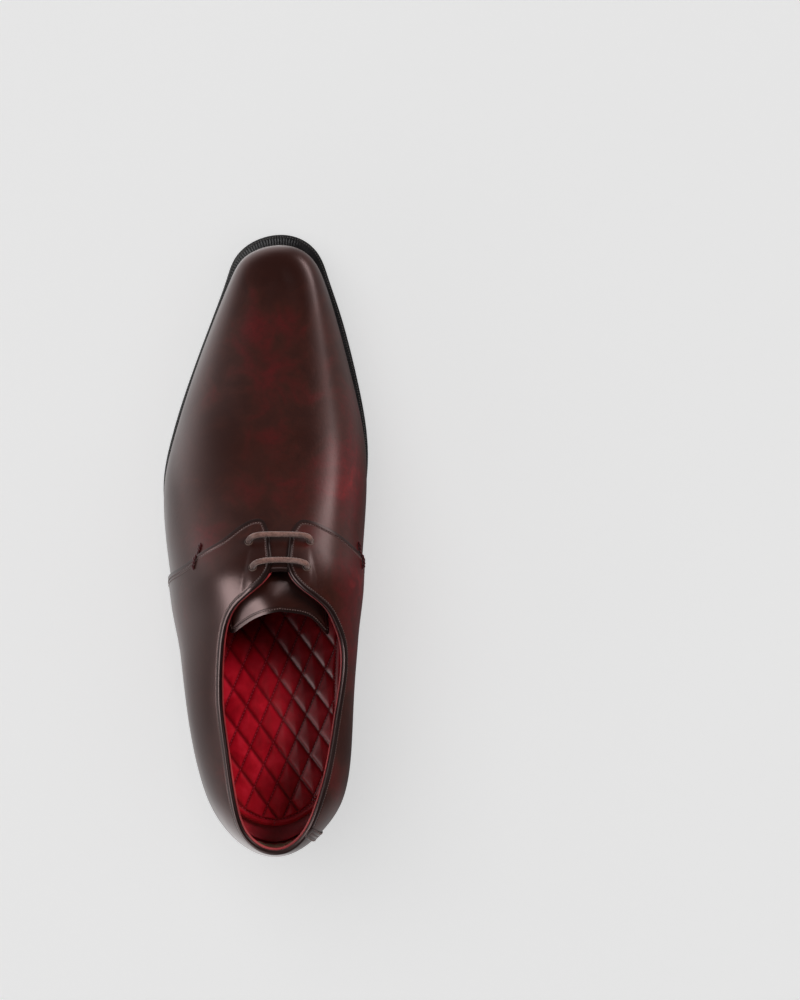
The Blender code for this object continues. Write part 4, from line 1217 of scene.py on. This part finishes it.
def make_bar_tacks(looks):
    """Two thick strands twisted into a loop over each seam, to take the strain."""
    for side, name in SIDES.items():
        v = TACK_V[side]
        seam = float(SEAM[side](v))
        reach = np.linspace(-TACK_REACH, TACK_REACH, 90)
        psi = station(seam + reach, side)
        dive = 1.8 * np.clip((abs(reach) - TACK_REACH + 1.5) / 1.5, 0, 1) ** 1.5
        stand = LIFT * ease((1.5 - reach) / 3.0) + 0.75 - dive
        centre = last(psi, v + reach * 0.004, stand)
        up = last(psi, v, 3.0) - last(psi, v, 2.0)
        _, aside, lift = frames_along(centre, up)
        turn = length_along(centre) * 2 * np.pi / TACK_TWIST
        for k in (0, 1):
            a = (turn + k * np.pi)[:, None]
            points = centre + TACK_STRAND * (np.cos(a) * aside + np.sin(a) * lift)
            obj = strand(f"bar_tack_{name}_strand_{k + 1}", points, TACK_STRAND, looks["tack"], up=up)
            if k == 0:
                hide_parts(f"bar_tack_{name}")


# ---------------------------------------------------------------- hidden solids

def dress_hidden(looks):
    """Gives every CAD node that is still shown a procedural material of its own kind."""
    kinds = {"vamp_lining": "lining", "toe_puff": "stiffener", "heel_counter": "stiffener",
             "facing_stay": "stiffener", "eyelet": "brass", "insole": "board", "cork": "cork",
             "steel_shank": "steel", "aglet": "aglet"}
    for name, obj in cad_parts.items():
        for kind, look in kinds.items():
            if name.startswith(kind):
                obj.data.materials.clear()
                obj.data.materials.append(looks[look])


# ---------------------------------------------------------------- camera, light, floor

def area_light(name, place, target, size, power):
    data = bpy.data.lights.new(name, "AREA")
    data.shape, data.energy = "RECTANGLE", power
    data.size, data.size_y = size
    lamp = bpy.data.objects.new(name, data)
    bpy.context.collection.objects.link(lamp)
    lamp.location = place
    lamp.rotation_euler = (Vector(target) - Vector(place)).to_track_quat("-Z", "Y").to_euler()
    return lamp


def linked(lamp, obj, state):
    """Makes a lamp light one object only (INCLUDE), or everything but that object (EXCLUDE)."""
    group = bpy.data.collections.new(lamp.name + "_target")
    group.objects.link(obj)
    lamp.light_linking.receiver_collection = group
    group.collection_objects[0].light_linking.link_state = state
    return lamp


def sun(name, direction, spread, power):
    data = bpy.data.lights.new(name, "SUN")
    data.energy, data.angle = power, np.radians(spread)
    lamp = bpy.data.objects.new(name, data)
    bpy.context.collection.objects.link(lamp)
    lamp.rotation_euler = (-Vector(direction)).to_track_quat("-Z", "Y").to_euler()
    return lamp


def make_stage():
    floor = make_plane("floor", 6.0, floor_stuff())
    floor.visible_glossy = False
    suns = [("soft_key", (0.7, 0.45, 0.9), 24, 2.5, "EXCLUDE"),
            ("soft_fill", (-0.6, 0.2, 0.9), 50, 0.5, "EXCLUDE"),
            ("floor_wash", (-0.35, 0.3, 1.0), 60, 0.62, "INCLUDE"),
            ("floor_fill", (0.5, -0.1, 1.0), 60, 0.2, "INCLUDE")]
    for name, direction, spread, power, state in suns:
        lamp = linked(sun(name, direction, spread, power), floor, state)
        lamp.visible_glossy = False
    cards = [("left_card", (-0.5, -0.2, 0.6), (0, -0.02, 0.07), (0.75, 0.34), 6.5),
             ("right_strip", (0.9, 0.95, 0.6), (0, 0.1, 0.05), (0.6, 0.22), 4.5)]
    for name, place, target, size, power in cards:
        lamp = linked(area_light(name, place, target, size, power), floor, "EXCLUDE")
        lamp.visible_diffuse = False
    world = bpy.data.worlds.new("studio")
    dress_world(world)
    bpy.context.scene.world = world
    bpy.context.scene.view_settings.view_transform = "Standard"


def light_tongue():
    """A narrow card that only the tongue reflects, for the sheen along its crown."""
    card = area_light("tongue_card", (0.12, 0.75, 0.8), (0, 0, 0.07), (0.16, 0.5), 2.2)
    linked(card, bpy.data.objects["tongue_skin"], "INCLUDE").visible_diffuse = False


def dress_world(world):
    """A studio that is dim overhead, bright near the ground before and behind, and dim to the right."""
    n = Nodes(world, "Generated")
    x, y, z = n.axes()
    low = n.span(n.math("MULTIPLY", z, -1.0), -0.6, 0.25, 0.0, 1.9)
    left = n.math("ADD", n.span(n.math("MULTIPLY", x, -1.0), -0.1, 0.3, 0.0, 0.42), 0.02)
    ends = n.span(n.math("ABSOLUTE", n.math("ADD", y, 0.03)), 0.1, 0.36)
    ends = n.math("MULTIPLY", ends, n.math("SUBTRACT", 1.0, n.span(x, 0.0, 0.25, 0.0, 0.72)))
    strength = n.math("ADD", n.math("MULTIPLY", low, n.math("MAXIMUM", left, ends)), 0.05)
    background = n.tree.nodes["Background"]
    background.inputs["Color"].default_value = (1, 1, 1, 1)
    n.link(strength, background.inputs["Strength"])


def make_plane(name, size, look):
    mesh = bpy.data.meshes.new(name)
    h = size / 2
    mesh.from_pydata([(-h, -h, 0), (h, -h, 0), (h, h, 0), (-h, h, 0)], [], [(0, 1, 2, 3)])
    obj = bpy.data.objects.new(name, mesh)
    obj.data.materials.append(look)
    bpy.context.collection.objects.link(obj)
    return obj


def make_camera():
    data = bpy.data.cameras.new("camera")
    data.sensor_width, data.lens = 36, 108
    camera = bpy.data.objects.new("camera", data)
    bpy.context.collection.objects.link(camera)
    place, aim = Vector((0, 0.0196, CAMERA_HEIGHT * MM)), Vector((0.0674, 0.0196, 0))
    camera.location = place
    camera.rotation_euler = (0, -np.arctan2(aim.x - place.x, place.z), 0)
    bpy.context.scene.camera = camera


def main():
    make_camera()
    looks = make_looks()
    make_stage()
    make_vamp(looks)
    for side in SIDES:
        make_quarter(side, looks)
    make_collar(looks)
    make_linings(looks)
    make_back_strip(looks)
    make_tongue(looks)
    light_tongue()
    breast, joint = float(station(BREAST_Y)), 0.003
    make_welt("welt", joint - breast, breast - joint, looks)
    make_welt("heel_rand", breast + joint, 2 * np.pi - breast - joint, looks)
    make_outsole(looks)
    make_heel(looks)
    make_sock(looks)
    make_foam(looks)
    make_heel_seat(looks)
    make_lace(looks)
    make_eyelet_rims(looks)
    make_bar_tacks(looks)
    dress_hidden(looks)


main()
